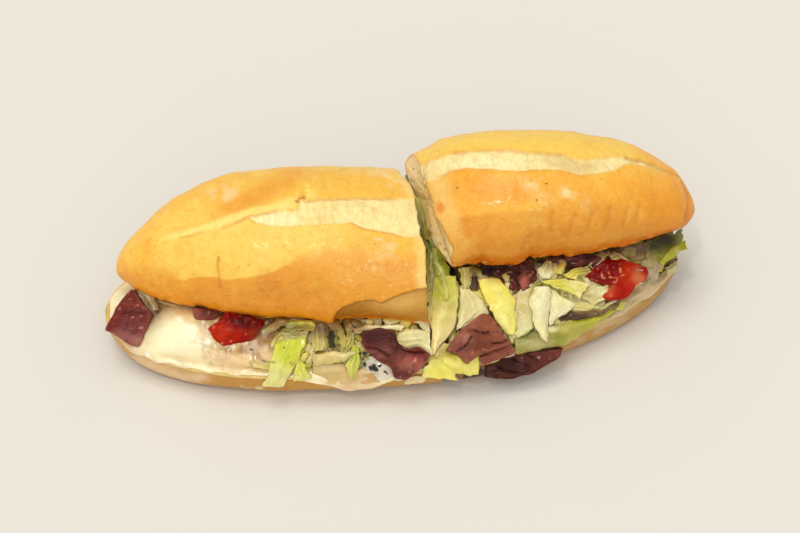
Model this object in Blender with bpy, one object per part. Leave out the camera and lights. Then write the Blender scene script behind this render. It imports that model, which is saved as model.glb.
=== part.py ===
"""Roast beef sandwich on a long split roll, cut in two across the middle.

Sizes are in millimetres and are brought to metres as each mesh is made. +X runs along the roll, from the
left half's tip to the right half's, +Y runs to the back and +Z is up. The roll rests on Z = 0. The pieces
are laid out from a point near the gap between the halves, and at the end the middle of the whole is
brought over the origin.
"""

import math
import random
from dataclasses import dataclass

import bmesh
import bpy
from mathutils import Euler, Vector, noise

MM = 0.001
# Room left between pieces that touch
GAP = 0.35

# Heights of the lower bread's rim and of the hollow in its upper face, and of each lid's underside
ROLL_RIM = 16.0
ROLL_FLOOR = 14.0
LEFT_LID_BASE = 33.0
RIGHT_LID_BASE = 42.0

# How far the knife's cut leans along X for each millimetre of depth
KNIFE_SLANT = 0.17
# Share of a heel's length that lies flat before its tip curls up
FLAT_BASE_SHARE = 0.74
# Rings along each piece of bread, and how many of them the sauce covers from the cut end
BREAD_STATIONS = 20
SAUCE_REACH = 17

LEAF_THICKNESS = 1.3
SHRED_THICKNESS = 1.6
SHRED_WIDTHS = (5.0, 9.0)
SHARP_ANGLE = 40.0


def clear_scene():
    for old in list(bpy.data.objects):
        bpy.data.objects.remove(old, do_unlink=True)


def food_material(name, colour, roughness):
    made = bpy.data.materials.new(name)
    made.use_nodes = True
    shader = made.node_tree.nodes["Principled BSDF"]
    shader.inputs["Base Color"].default_value = (*colour, 1.0)
    shader.inputs["Roughness"].default_value = roughness
    shader.inputs["Metallic"].default_value = 0.0
    return made


def crust_material():
    return food_material("golden crust", (0.83, 0.45, 0.12), 0.42)


def beef_material():
    return food_material("roast beef", (0.16, 0.055, 0.045), 0.45)


def tomato_material():
    return food_material("tomato flesh", (0.45, 0.02, 0.01), 0.2)


def lettuce_material():
    return food_material("shredded lettuce", (0.62, 0.60, 0.28), 0.35)


def sauce_material():
    return food_material("white sauce", (0.93, 0.82, 0.58), 0.25)


def taper(share, fullness, bluntness):
    """1 at the cut end, falling to 0 at the tip; fullness keeps it near 1 for longer."""
    return max(0.0, 1.0 - share**fullness) ** (1.0 / bluntness)


@dataclass(frozen=True)
class Loaf:
    """Plan of one piece of the roll: a centre line along X with a width that tapers to the tip."""

    cut_x: float
    cut_y: float
    tip_x: float
    tip_y: float
    half_width: float
    fullness: float
    bluntness: float
    bow: float
    slant: float

    def half(self, share):
        return self.half_width * taper(share, self.fullness, self.bluntness)

    def middle(self, share):
        straight = self.cut_y + (self.tip_y - self.cut_y) * share
        return straight + self.bow * 4.0 * share * (1.0 - share)

    def share_at(self, x):
        return min(1.0, max(0.0, (x - self.cut_x) / (self.tip_x - self.cut_x)))

    def front(self, share):
        return self.middle(share) - self.half(share)

    def back(self, share):
        return self.middle(share) + self.half(share)

    def place(self, share, y, z):
        """The point at a share of the length; the knife's slant fades out towards the tip."""
        x = self.cut_x + (self.tip_x - self.cut_x) * share
        x -= self.slant * (y - self.cut_y) * (1.0 - share) ** 2
        return Vector((x, y, z))


@dataclass(frozen=True)
class Lid:
    """Section of an upper piece: a tall dome over a flat underside, with the baker's slash along its top."""

    loaf: Loaf
    base_z: float
    height: float
    squash: float
    slash_angle: float
    slash_reach: float
    squash_length: float
    boxiness: float = 2.35
    tuck: float = 0.08
    slash_depth: float = 2.6
    slash_half_angle: float = 0.17

    def dome_height(self, share):
        pressed = 1.0 - self.squash * math.exp(-share / self.squash_length)
        return self.height * pressed * taper(share, 2.4, 1.75)

    def slash(self, share, angle):
        """How far the slash opens the crust at this angle round the dome, 0 outside it."""
        across = abs(angle - self.slash_angle) / self.slash_half_angle
        along = max(0.0, 1.0 - (share / self.slash_reach) ** 4)
        return self.slash_depth * along * max(0.0, 1.0 - across**4)

    def section(self, share, dome_points=21, floor_points=5):
        """(y, z) pairs over the dome from front to back, then home along the underside."""
        half, height = self.loaf.half(share), self.dome_height(share)
        middle = self.loaf.middle(share)
        points = []
        for i in range(dome_points):
            angle = math.pi * (1.0 - i / (dome_points - 1))
            across = math.copysign(abs(math.cos(angle)) ** (2.0 / self.boxiness), math.cos(angle))
            rise = math.sin(angle) ** (2.0 / self.boxiness) if 0 < i < dome_points - 1 else 0.0
            across *= 1.0 - self.tuck * max(0.0, 1.0 - rise / 0.3) ** 2
            sunk = min(self.slash(share, angle), 0.3 * height)
            y = half * across - sunk * math.cos(angle)
            z = height * rise - sunk * math.sin(angle)
            points.append((middle + y, self.base_z + z))
        inner = half * (1.0 - self.tuck)
        for i in range(1, floor_points + 1):
            across = 1.0 - 2.0 * i / (floor_points + 1)
            points.append((middle + inner * across, self.base_z))
        return points


@dataclass(frozen=True)
class Heel:
    """Section of a lower piece: a flat base, bellied sides and a slightly hollow upper face."""

    loaf: Loaf

    # (share of the half width, height), from the front rim down and under to the middle of the base
    SIDE = ((0.96, ROLL_RIM), (1.0, 11.0), (0.985, 6.5), (0.93, 2.6), (0.83, 0.0), (0.42, 0.0))
    FLOOR = ((0.62, ROLL_FLOOR + 0.8), (0.3, ROLL_FLOOR))

    def depth(self, share):
        """1 where the base lies flat, falling to 0 where the tip curls up to the rim."""
        beyond = max(0.0, share - FLAT_BASE_SHARE) / (1.0 - FLAT_BASE_SHARE)
        return taper(beyond, 2.2, 2.0)

    def point(self, share, across, z):
        """(y, z) of a point given as a share of the half width and a height at the loaf's full depth."""
        lowered = ROLL_RIM - (ROLL_RIM - z) * self.depth(share)
        return self.loaf.middle(share) + self.loaf.half(share) * across, lowered

    def section(self, share):
        front = [(-across, z) for across, z in self.SIDE]
        back = [(across, z) for across, z in reversed(self.SIDE)]
        inside = [(across, z) for across, z in self.FLOOR]
        inside += [(0.0, ROLL_FLOOR)] + [(-across, z) for across, z in reversed(self.FLOOR)]
        return [self.point(share, across, z) for across, z in front + back + inside]


LEFT_LID = Lid(
    Loaf(3.0, 2.0, -136.0, 8.0, 43.0, 2.5, 1.7, 5.0, 0.1),
    base_z=LEFT_LID_BASE, height=44.5, squash=0.19, slash_angle=1.72, slash_reach=0.95, squash_length=0.3,
)
RIGHT_LID = Lid(
    Loaf(18.0, 21.0, 146.5, 12.0, 39.0, 2.9, 1.9, 0.0, KNIFE_SLANT + 0.03),
    base_z=RIGHT_LID_BASE, height=42.0, squash=0.5, slash_angle=1.62, slash_reach=0.97, squash_length=0.12,
)
LEFT_HEEL = Heel(Loaf(6.0, -6.0, -143.5, -5.0, 51.0, 2.9, 1.9, 0.0, KNIFE_SLANT))
RIGHT_HEEL = Heel(Loaf(16.0, -6.0, 139.0, 2.0, 50.0, 1.9, 1.5, 0.0, KNIFE_SLANT))


def mesh_object(name, bm, material):
    """Turns a bmesh in millimetres into a named object in metres, its faces outward and smooth."""
    bmesh.ops.recalc_face_normals(bm, faces=bm.faces)
    if bm.calc_volume(signed=True) < 0.0:
        bmesh.ops.reverse_faces(bm, faces=bm.faces)
    bmesh.ops.triangulate(bm, faces=[f for f in bm.faces if len(f.verts) > 3])
    bmesh.ops.scale(bm, vec=(MM, MM, MM), verts=bm.verts)
    mesh = bpy.data.meshes.new(name)
    bm.to_mesh(mesh)
    bm.free()
    mesh.materials.append(material)
    mesh.shade_smooth()
    mesh.set_sharp_from_angle(angle=math.radians(SHARP_ANGLE))
    made = bpy.data.objects.new(name, mesh)
    bpy.context.scene.collection.objects.link(made)
    return made


def loft(name, rings, material, pole=None):
    """A closed solid through rings of points; the last ring closes on a pole or with a flat face."""
    bm = bmesh.new()
    loops = [[bm.verts.new(p) for p in ring] for ring in rings]
    count = len(loops[0])
    for near, far in zip(loops, loops[1:]):
        for i in range(count):
            j = (i + 1) % count
            bm.faces.new((near[i], near[j], far[j], far[i]))
    bm.faces.new(loops[0])
    if pole is None:
        bm.faces.new(list(reversed(loops[-1])))
    else:
        peak = bm.verts.new(pole)
        for i in range(count):
            bm.faces.new((loops[-1][i], loops[-1][(i + 1) % count], peak))
    return mesh_object(name, bm, material)


def stations(count, first=0.0, last=1.0):
    """Shares of the length, closer together towards the tip, where the outline turns in."""
    return [first + (last - first) * math.sin(math.pi / 2 * i / count) for i in range(count + 1)]


def bread(name, piece, material):
    loaf, shares = piece.loaf, stations(BREAD_STATIONS)
    rings = [[loaf.place(share, y, z) for y, z in piece.section(share)] for share in shares[:-1]]
    pole_z = sum(z for _, z in piece.section(shares[-2])) / len(rings[-1])
    return loft(name, rings, material, pole=loaf.place(1.0, loaf.middle(1.0), pole_z))


def wander(seed, *where):
    """Smooth noise from -1 to 1."""
    return noise.noise(Vector(where) + Vector((seed * 7.3, seed * 3.1, seed * 1.7)))


def layer(name, loaf, section, material, first, last, count=14):
    """A filling layer that runs through the food, between two shares of a loaf's length."""
    shares = stations(count, first, last)
    rings = [[loaf.place(share, y, z) for y, z in section(share)] for share in shares]
    return loft(name, rings, material)


def slab_section(front, back, low, high, seed, share, count=9, ripple=1.2):
    """(y, z) round a flat slab whose upper face ripples, front to back and home underneath."""
    across = [front + (back - front) * i / (count - 1) for i in range(count)]
    top = [(y, high + ripple * wander(seed, share * 9.0, y * 0.09, 0.0)) for y in across]
    return top + [(y, low) for y in reversed(across)]


@dataclass(frozen=True)
class Drip:
    """A tongue of sauce over the rim, centred at x, so wide and hanging so far."""

    x: float
    width: float
    length: float

    def hang(self, x):
        return self.length * math.exp(-(((x - self.x) / self.width) ** 2))


@dataclass(frozen=True)
class Sauce:
    """White sauce in the hollow of the lower bread, hanging over its front rim in drips."""

    heel: Heel
    drips: tuple
    mound: Drip
    thickness: float
    seed: int
    edge_rise: float = 2.4
    thin_skin: float = 0.3
    ripple: float = 0.6

    def upper_face(self, x, share):
        """(share of the half width, height) over the sauce, from behind the front rim to the back."""
        high = ROLL_RIM + self.thickness + self.ripple * wander(self.seed, share * 11.0, 0.0, 0.0)
        heaped = self.mound.hang(x)
        front = [(-0.9, ROLL_RIM + self.edge_rise + 0.4 * heaped), (-0.76, high - 0.7 + heaped)]
        middle = [(-0.5, high + heaped), (-0.36, high + 0.4), (0.2, high), (0.6, high - 0.4)]
        return front + middle + [(0.84, ROLL_RIM + 1.6)]

    def under_face(self):
        """The lower bread's own upper face, a gap above it, from the back to the front."""
        back = [(0.62, ROLL_FLOOR + 0.8 + GAP), (0.3, ROLL_FLOOR + GAP)]
        front = [(-across, z) for across, z in reversed(back)]
        return [(0.84, ROLL_RIM + GAP)] + back + [(0.0, ROLL_FLOOR + GAP)] + front

    def over_the_rim(self, x, share):
        """(y, z) down behind a drip, round its lip and up its outside."""
        hang = max(drip.hang(x) for drip in self.drips)
        skin = self.thin_skin + 0.25 * min(hang, 6.0)
        rim = -0.96 + 0.06 * max(0.0, 1.0 - hang / 2.0)
        lip = -1.0 + 0.04 * max(0.0, 1.0 - hang / 2.5)
        y_rim, z_rim = self.heel.point(share, rim, ROLL_RIM)
        y_lip, z_lip = self.heel.point(share, lip, ROLL_RIM - 0.3 - hang)
        inside = [(y_rim, z_rim + GAP), (y_lip - GAP, z_lip)]
        outside = [(y_lip - skin, z_lip - 0.4 * skin), (y_lip - skin - 0.8, z_lip + 1.2)]
        return inside + outside + [(y_rim - 0.6 - 0.5 * skin, z_rim + 1.5)]

    def section(self, share):
        x = self.heel.loaf.place(share, 0.0, 0.0).x
        faces = [self.heel.point(share, *entry) for entry in self.upper_face(x, share) + self.under_face()]
        return faces + self.over_the_rim(x, share)

    def build(self, name, material):
        shares = stations(BREAD_STATIONS)[:SAUCE_REACH]
        rings = [[self.heel.loaf.place(share, y, z) for y, z in self.section(share)] for share in shares]
        return loft(name, rings, material)


LEFT_SAUCE = Sauce(
    LEFT_HEEL, (Drip(-116.0, 9.0, 8.0), Drip(-101.0, 7.0, 6.0), Drip(-87.0, 8.0, 7.5), Drip(-34.0, 14.0, 6.0)),
    mound=Drip(-106.0, 24.0, 5.0), thickness=3.8, seed=41,
)
RIGHT_SAUCE = Sauce(
    RIGHT_HEEL, (Drip(104.0, 9.0, 5.0), Drip(124.0, 6.0, 4.0)), mound=Drip(116.0, 12.0, 2.0), thickness=3.2, seed=42
)


@dataclass(frozen=True)
class Stack:
    """How high the fillings reach between one lid and its heel, and how far in they start."""

    lid: Lid
    heel: Heel
    beef_low: float
    beef_high: float
    beef_inset: float
    slope_foot: float
    slope_draw: float
    slope_brow: float
    seed: int

    def heel_share(self, share):
        return self.heel.loaf.share_at(self.lid.loaf.place(share, 0.0, 0.0).x)

    def beef_front(self, share):
        front = max(self.lid.loaf.front(share), self.heel.loaf.front(self.heel_share(share)))
        return front + self.beef_inset + 2.0 * wander(self.seed, share * 14.0, 0.0, 4.0)

    def back(self, share):
        return min(self.lid.loaf.back(share), self.heel.loaf.back(self.heel_share(share))) - 5.0

    def beef_section(self, share):
        front = self.beef_front(share)
        back = max(self.back(share), front + 6.0)
        return slab_section(front, back, self.beef_low, self.beef_high, self.seed, share)

    def heap_section(self, share):
        """(y, z) round a heap of shreds: over the beef, and down a slope in front of it."""
        top, over = self.lid.base_z - GAP, self.beef_high + 1.6
        brow = self.lid.loaf.front(share) + self.slope_brow
        behind = self.beef_front(share) - 0.6
        drawn = self.slope_foot + self.slope_draw * max(0.0, share - 0.4)
        foot = min(self.heel.loaf.front(self.heel_share(share)) + drawn, behind - 3.0)
        back = max(self.back(share), brow + 9.0) + 1.0
        return [
            (foot, ROLL_RIM + 5.0), (foot + 0.5, ROLL_RIM + 8.0),
            (0.5 * (foot + brow), 0.4 * ROLL_RIM + 0.6 * top), (brow, top - 3.0), (brow + 4.0, top),
            (0.5 * (brow + back), top), (back - 2.0, top), (back, 0.5 * (top + over)),
            (back - 2.0, over), (0.5 * (brow + back), over), (behind + 0.4, over),
            (behind, over - 1.0), (behind, ROLL_RIM + 5.0), (0.5 * (foot + behind), ROLL_RIM + 4.8),
        ]


def chunk(name, centre, size, turn, material, seed, roughness=0.10, cuts=2):
    """A torn block of meat: a rounded box, its faces uneven, turned by degrees about X, Y and Z."""
    bm = bmesh.new()
    bmesh.ops.create_cube(bm, size=2.0)
    bmesh.ops.subdivide_edges(bm, edges=bm.edges, cuts=cuts, use_grid_fill=True)
    spin = Euler([math.radians(a) for a in turn])
    half = Vector(size) / 2.0
    for vert in bm.verts:
        corner = vert.co.copy()
        round_off = 1.0 - 0.16 * (corner.length_squared - 1.0) / 2.0
        push = 1.0 + roughness * wander(seed, *(corner * 1.3))
        local = Vector([c * h for c, h in zip(corner * round_off * push, half)])
        local.rotate(spin)
        vert.co = local + Vector(centre)
    return mesh_object(name, bm, material)


def curve_point(route, t):
    """A point on the smooth curve through the route's points, with t from 0 to 1."""
    spans = len(route) - 1
    i = min(int(t * spans), spans - 1)
    u = t * spans - i
    p = [Vector(route[min(max(k, 0), spans)]) for k in (i - 1, i, i + 1, i + 2)]
    return 0.5 * (
        2.0 * p[1] + (p[2] - p[0]) * u + (2.0 * p[0] - 5.0 * p[1] + 4.0 * p[2] - p[3]) * u * u
        + (3.0 * (p[1] - p[2]) + p[3] - p[0]) * u**3
    )


def leaf(name, route, width, material, seed, facing=(0.0, -0.7, 0.7), wave=1.2, ends=(0.5, 0.5),
         along=7, across=2, thickness=LEAF_THICKNESS):
    """A thin wavy leaf or shred along a route; facing is the side that its face turns to."""
    bm = bmesh.new()
    upper, lower = [], []
    for i in range(along + 1):
        t = i / along
        centre = curve_point(route, t)
        ahead = (curve_point(route, min(1.0, t + 0.02)) - curve_point(route, max(0.0, t - 0.02))).normalized()
        side = ahead.cross(Vector(facing)).normalized()
        face = side.cross(ahead).normalized()
        narrow = ends[0] if t < 0.5 else ends[1]
        reach = 0.5 * width * (narrow + (1.0 - narrow) * math.sin(math.pi * t) ** 0.6)
        for row, offset in ((upper, 0.5), (lower, -0.5)):
            for j in range(across + 1):
                v = 2.0 * j / across - 1.0
                lift = wave * wander(seed, t * 4.0, v * 1.6, 0.0)
                point = centre + side * (reach * v) + face * (lift + offset * thickness)
                row.append(bm.verts.new(point))
    stride = across + 1

    def quad(a, b, c, d):
        bm.faces.new((a, b, c))
        bm.faces.new((a, c, d))

    for i in range(along):
        for j in range(across):
            k = i * stride + j
            quad(upper[k], upper[k + 1], upper[k + stride + 1], upper[k + stride])
            quad(lower[k], lower[k + 1], lower[k + stride + 1], lower[k + stride])
    rim = [j for j in range(across)] + [i * stride + across for i in range(along)]
    rim += [along * stride + j for j in range(across, 0, -1)] + [i * stride for i in range(along, 0, -1)]
    for a, b in zip(rim, rim[1:] + rim[:1]):
        quad(upper[a], upper[b], lower[b], lower[a])
    return mesh_object(name, bm, material)


def tomato_slice(name, centre, radius, sweep, start, turn, material, seed, thickness=7.0, steps=9):
    """Part of a thick round slice: an arc of skin, with the flesh drawn in towards the core."""
    bm = bmesh.new()
    spin = Euler([math.radians(a) for a in turn])
    faces = []
    for side in (-0.5, 0.5):
        outline = []
        for i in range(steps + 1):
            angle = math.radians(start + sweep * i / steps)
            r = radius * (1.0 + 0.05 * wander(seed, i * 0.6, side, 0.0))
            outline.append(Vector((r * math.cos(angle), r * math.sin(angle), side * thickness * 0.8)))
        for i in range(3, 0, -1):
            angle = math.radians(start + sweep * i / 4.0)
            r = radius * (0.22 + 0.08 * wander(seed, i * 2.0, 5.0, 0.0))
            outline.append(Vector((r * math.cos(angle), r * math.sin(angle), side * thickness)))
        for point in outline:
            point.rotate(spin)
        faces.append([bm.verts.new(point + Vector(centre)) for point in outline])
    count = len(faces[0])
    for i in range(count):
        j = (i + 1) % count
        bm.faces.new((faces[0][i], faces[0][j], faces[1][j], faces[1][i]))
    bm.faces.new(faces[0])
    bm.faces.new(list(reversed(faces[1])))
    return mesh_object(name, bm, material)


def applied(obj):
    """Gives the object its evaluated mesh and drops its modifiers."""
    graph = bpy.context.evaluated_depsgraph_get()
    mesh = bpy.data.meshes.new_from_object(obj.evaluated_get(graph))
    obj.modifiers.clear()
    obj.data = mesh


def in_helper_collection(objects):
    group = bpy.data.collections.new("helpers")
    bpy.context.scene.collection.children.link(group)
    for obj in objects:
        for old in list(obj.users_collection):
            old.objects.unlink(obj)
        group.objects.link(obj)
    return group


def combine(obj, others, operation):
    """One Boolean with a whole collection, applied, after which the collection's objects go."""
    group = in_helper_collection(others)
    modifier = obj.modifiers.new("combine", "BOOLEAN")
    modifier.operation = operation
    modifier.operand_type = "COLLECTION"
    modifier.collection = group
    modifier.solver = "MANIFOLD"
    bpy.context.view_layer.update()
    applied(obj)
    for other in others:
        bpy.data.objects.remove(other, do_unlink=True)
    bpy.data.collections.remove(group)


def grown_copy(obj):
    """The object with every face moved out by the gap, to cut its neighbours with."""
    bm = bmesh.new()
    bm.from_mesh(obj.data)
    bm.normal_update()
    moved = {}
    for vert in bm.verts:
        flattest = min((vert.normal.dot(face.normal) for face in vert.link_faces), default=1.0)
        moved[vert] = vert.co + vert.normal * (GAP * MM / max(0.4, flattest))
    for vert, co in moved.items():
        vert.co = co
    mesh = bpy.data.meshes.new(obj.name + "_room")
    bm.to_mesh(mesh)
    bm.free()
    return bpy.data.objects.new(obj.name + "_room", mesh)


def keep_largest_piece(obj):
    """Drops the loose scraps that a cut leaves."""
    bm = bmesh.new()
    bm.from_mesh(obj.data)
    bmesh.ops.triangulate(bm, faces=bm.faces)
    left, largest = set(bm.faces), set()
    while left:
        found, rim = set(), {left.pop()}
        while rim:
            found |= rim
            edges = [e for face in rim for e in face.edges if len(e.link_faces) == 2]
            rim = {face for e in edges for face in e.link_faces} - found
        left -= found
        if len(found) > len(largest):
            largest = found
    scraps = [face for face in bm.faces if face not in largest]
    bmesh.ops.delete(bm, geom=scraps, context="FACES")
    bm.to_mesh(obj.data)
    bm.free()


def boxes_meet(a, b):
    def corners(obj):
        co = [v.co for v in obj.data.vertices]
        return [min(c[k] for c in co) for k in range(3)], [max(c[k] for c in co) for k in range(3)]

    (low_a, high_a), (low_b, high_b) = corners(a), corners(b)
    reach = 2.0 * GAP * MM
    return all(low_a[k] < high_b[k] + reach and low_b[k] < high_a[k] + reach for k in range(3))


def settle(pieces):
    """Each piece in the list gives way to those before it, so that no two share any space."""
    for i, obj in enumerate(pieces):
        rooms = [grown_copy(other) for other in pieces[:i] if boxes_meet(obj, other)]
        if rooms:
            combine(obj, rooms, "DIFFERENCE")
            keep_largest_piece(obj)


def shreds(name, stack, material, count, reach):
    """The shreds that show on a heap's front slope and at its back, by a seeded rule."""
    rng = random.Random(stack.seed)
    lid, made = stack.lid, []
    for i in range(count):
        share = reach[0] + (reach[1] - reach[0]) * (i + rng.random() * 0.6) / count
        x = lid.loaf.place(share, 0.0, 0.0).x
        behind = i % 3 == 2
        if behind:
            near, far = stack.back(share) - 8.0, stack.back(share) + 2.0 + rng.random() * 2.0
            low = stack.beef_high - 3.0 * rng.random()
        else:
            near = lid.loaf.front(share) + 6.0
            far = stack.heel.loaf.front(stack.heel_share(share)) + 5.0
            low = ROLL_RIM + 2.5 + rng.random() * 3.0
        top, lean = lid.base_z - 2.5, rng.uniform(-9.0, 9.0)
        bend = (x + 0.5 * lean, 0.5 * (near + far), 0.5 * (top + low) + 2.5)
        facing = (0.3 * rng.uniform(-1, 1), 0.7 if behind else -0.7, 0.7)
        route = [(x, near, top), bend, (x + lean, far, low)]
        made.append(
            leaf(f"{name}_shred_{i}", route, rng.uniform(*SHRED_WIDTHS), material, stack.seed + i,
                 facing=facing, wave=0.9, ends=(0.8, 0.45), along=4, across=1, thickness=SHRED_THICKNESS)
        )
    return made


def centre_on_origin(pieces):
    """Brings the middle of the whole, seen from above, over the origin."""
    corners = [v.co for obj in pieces for v in obj.data.vertices]
    middle = Vector((0.0, 0.0, 0.0))
    for k in (0, 1):
        middle[k] = 0.5 * (min(c[k] for c in corners) + max(c[k] for c in corners))
    for obj in pieces:
        for vert in obj.data.vertices:
            vert.co -= middle


def heap(name, stack, material, shares, count, reach):
    """Shredded lettuce: a core with the shreds that show fused to it."""
    core = layer(name, stack.lid.loaf, stack.heap_section, material, *shares, count=12)
    combine(core, shreds(name, stack, material, count, reach), "UNION")
    return core


def breads(crust):
    return [
        bread("lid_left", LEFT_LID, crust),
        bread("lid_right", RIGHT_LID, crust),
        bread("heel_left", LEFT_HEEL, crust),
        bread("heel_right", RIGHT_HEEL, crust),
    ]


def beef_chunks(beef):
    return [
        chunk("beef_tip", (-130.5, -15.5, 22.5), (21.0, 19.0, 8.0), (38, -4, 24), beef, 3),
        chunk("beef_bit", (-91.0, -21.0, 26.5), (22.0, 12.0, 6.0), (25, 6, 10), beef, 4),
        chunk("beef_middle", (-5.5, -44.0, 22.5), (30.0, 17.0, 11.0), (34, 12, -20), beef, 5),
        chunk("beef_front", (33.0, -47.0, 28.5), (25.0, 20.0, 9.0), (40, 8, -6), beef, 6),
        chunk("beef_low", (56.0, -50.5, 12.5), (38.0, 10.0, 13.0), (28, -8, 14), beef, 7),
        chunk("beef_back", (54.0, -17.5, 37.0), (28.0, 16.0, 7.0), (22, 4, 8), beef, 8),
        chunk("beef_edge", (83.0, -12.5, 37.0), (24.0, 11.0, 6.0), (12, 0, 4), beef, 9),
    ]


def tomatoes(flesh):
    return [
        tomato_slice("tomato_left", (-78.5, -20.5, 25.0), 16.0, 165.0, 188.0, (28, -6, 6), flesh, 11),
        tomato_slice("tomato_right", (100.0, -15.0, 34.5), 17.5, 170.0, 186.0, (34, 4, 4), flesh, 12,
                     thickness=8.0),
    ]


def large_leaves(green):
    return [
        leaf("leaf_yellow", [(38.0, -12.0, 38.0), (41.0, -27.0, 37.0), (46.0, -43.0, 28.0)], 15.0, green, 21,
             ends=(0.6, 0.8)),
        leaf("leaf_pale", [(58.0, -22.0, 37.0), (63.0, -34.0, 34.5), (68.0, -46.0, 26.0)], 24.0, green, 22,
             wave=2.4, ends=(0.7, 0.5)),
        leaf("leaf_long", [(50.0, -48.0, 22.0), (72.0, -46.0, 23.5), (92.0, -38.0, 22.5), (107.0, -27.0, 21.5)],
             13.0, green, 23, ends=(0.8, 0.15)),
        leaf("leaf_gap", [(13.0, 4.0, 40.0), (15.0, -14.0, 36.0), (16.0, -34.0, 31.0), (12.5, -49.0, 21.5)],
             13.0, green, 24, facing=(-0.3, -0.6, 0.7), wave=1.8, ends=(0.6, 0.3)),
        leaf("leaf_front", [(22.0, -42.0, 22.0), (19.0, -51.0, 19.0), (16.5, -59.0, 13.0)], 20.0, green, 25,
             ends=(0.6, 0.6)),
        leaf("leaf_square", [(-56.0, -34.0, 26.0), (-59.0, -43.0, 23.5), (-64.0, -53.0, 14.5)], 15.0, green,
             26, ends=(0.85, 0.8)),
        leaf("leaf_rib", [(-27.0, -34.0, 30.0), (-10.0, -40.0, 30.0), (4.0, -45.0, 27.5)], 12.0, green, 27,
             wave=1.6, ends=(0.6, 0.7)),
        leaf("leaf_end", [(121.0, 6.0, 37.5), (131.0, -2.0, 36.0), (139.0, -7.0, 30.0)], 17.0, green, 28,
             facing=(0.3, -0.4, 0.8), wave=1.8, ends=(0.7, 0.5)),
    ]


def build_sandwich():
    clear_scene()
    crust, beef, green = crust_material(), beef_material(), lettuce_material()
    sauce = sauce_material()
    pieces = breads(crust) + beef_chunks(beef) + tomatoes(tomato_material()) + large_leaves(green)
    left = Stack(LEFT_LID, LEFT_HEEL, beef_low=21.5, beef_high=26.5, beef_inset=3.0, slope_foot=13.0,
                 slope_draw=60.0, slope_brow=1.0, seed=31)
    right = Stack(RIGHT_LID, RIGHT_HEEL, beef_low=22.0, beef_high=32.0, beef_inset=1.0, slope_foot=9.0,
                  slope_draw=0.0, slope_brow=3.0, seed=32)
    pieces += [
        layer("beef_slices_left", LEFT_LID.loaf, left.beef_section, beef, 0.02, 0.88, count=12),
        layer("beef_slices_right", RIGHT_LID.loaf, right.beef_section, beef, 0.02, 0.88, count=12),
        LEFT_SAUCE.build("sauce_left", sauce),
        RIGHT_SAUCE.build("sauce_right", sauce),
        heap("lettuce_left", left, green, (0.01, 0.90), 11, (0.03, 0.46)),
        heap("lettuce_right", right, green, (0.0, 0.91), 13, (0.02, 0.8)),
    ]
    settle(pieces)
    centre_on_origin(pieces)


build_sandwich()
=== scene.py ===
import logging
import math
from dataclasses import dataclass, field
from enum import Enum
from typing import Any, Sequence

import bpy
import numpy as np
from mathutils import Matrix, Vector


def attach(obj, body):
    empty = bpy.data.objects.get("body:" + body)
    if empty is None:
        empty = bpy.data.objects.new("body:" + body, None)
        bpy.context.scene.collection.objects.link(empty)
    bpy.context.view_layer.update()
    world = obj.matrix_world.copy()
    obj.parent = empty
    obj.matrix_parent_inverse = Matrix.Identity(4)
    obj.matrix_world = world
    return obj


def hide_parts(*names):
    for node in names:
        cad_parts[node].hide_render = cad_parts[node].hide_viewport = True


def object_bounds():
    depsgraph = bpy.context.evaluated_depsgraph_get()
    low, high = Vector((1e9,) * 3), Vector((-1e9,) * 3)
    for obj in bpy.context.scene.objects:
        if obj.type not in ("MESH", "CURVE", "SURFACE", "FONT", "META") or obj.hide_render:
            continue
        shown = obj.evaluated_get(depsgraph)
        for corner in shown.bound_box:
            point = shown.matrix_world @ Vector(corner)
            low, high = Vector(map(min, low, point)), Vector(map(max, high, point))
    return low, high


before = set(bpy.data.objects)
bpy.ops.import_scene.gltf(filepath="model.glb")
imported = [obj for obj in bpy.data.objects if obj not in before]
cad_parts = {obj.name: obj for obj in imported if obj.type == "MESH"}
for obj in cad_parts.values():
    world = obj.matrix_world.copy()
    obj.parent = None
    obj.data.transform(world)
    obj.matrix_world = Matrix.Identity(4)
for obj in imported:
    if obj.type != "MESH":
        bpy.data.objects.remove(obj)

LOG = logging.getLogger("sandwich")
CAD_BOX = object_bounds()
MM = 0.001
DRAWING_TO_FRAME = np.array([-1.5, 0.7, 0])  # the source's drawing, in mm, to the frame it was packed in
Array = np.ndarray
Pixels = Sequence[tuple[float, float]]
Colour = tuple[float, float, float]  # linear light, 0 to 1
Shade = tuple[float, float, float]  # as a screen shows it, 0 to 255


def seen(red: float, green: float, blue: float) -> Colour:
    """A colour as a screen shows it, 0 to 255, turned into linear light."""
    return tuple(
        (c / 12.92 if c <= 0.04045 else ((c + 0.055) / 1.055) ** 2.4 for c in (red / 255, green / 255, blue / 255))
    )


def smooth(value: Array, low: float, high: float) -> Array:
    """0 below low, 1 above high, and an S-shaped cubic between them."""
    share = np.clip((value - low) / (high - low), 0, 1)
    return share * share * (3 - 2 * share)


def lattice(x: Array, y: Array, z: Array, seed: int) -> Array:
    """A fixed number from 0 to 1 for each whole-number place, from the place's mixed-up bits."""
    mixed = (x * 374761393 + y * 668265263 + z * 1442695041 + seed * 974634777) & 0xFFFFFFFF
    mixed = ((mixed ^ (mixed >> 13)) * 1274126177) & 0xFFFFFFFF
    return ((mixed ^ (mixed >> 16)) & 0xFFFFFF) / float(0xFFFFFF)


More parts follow.
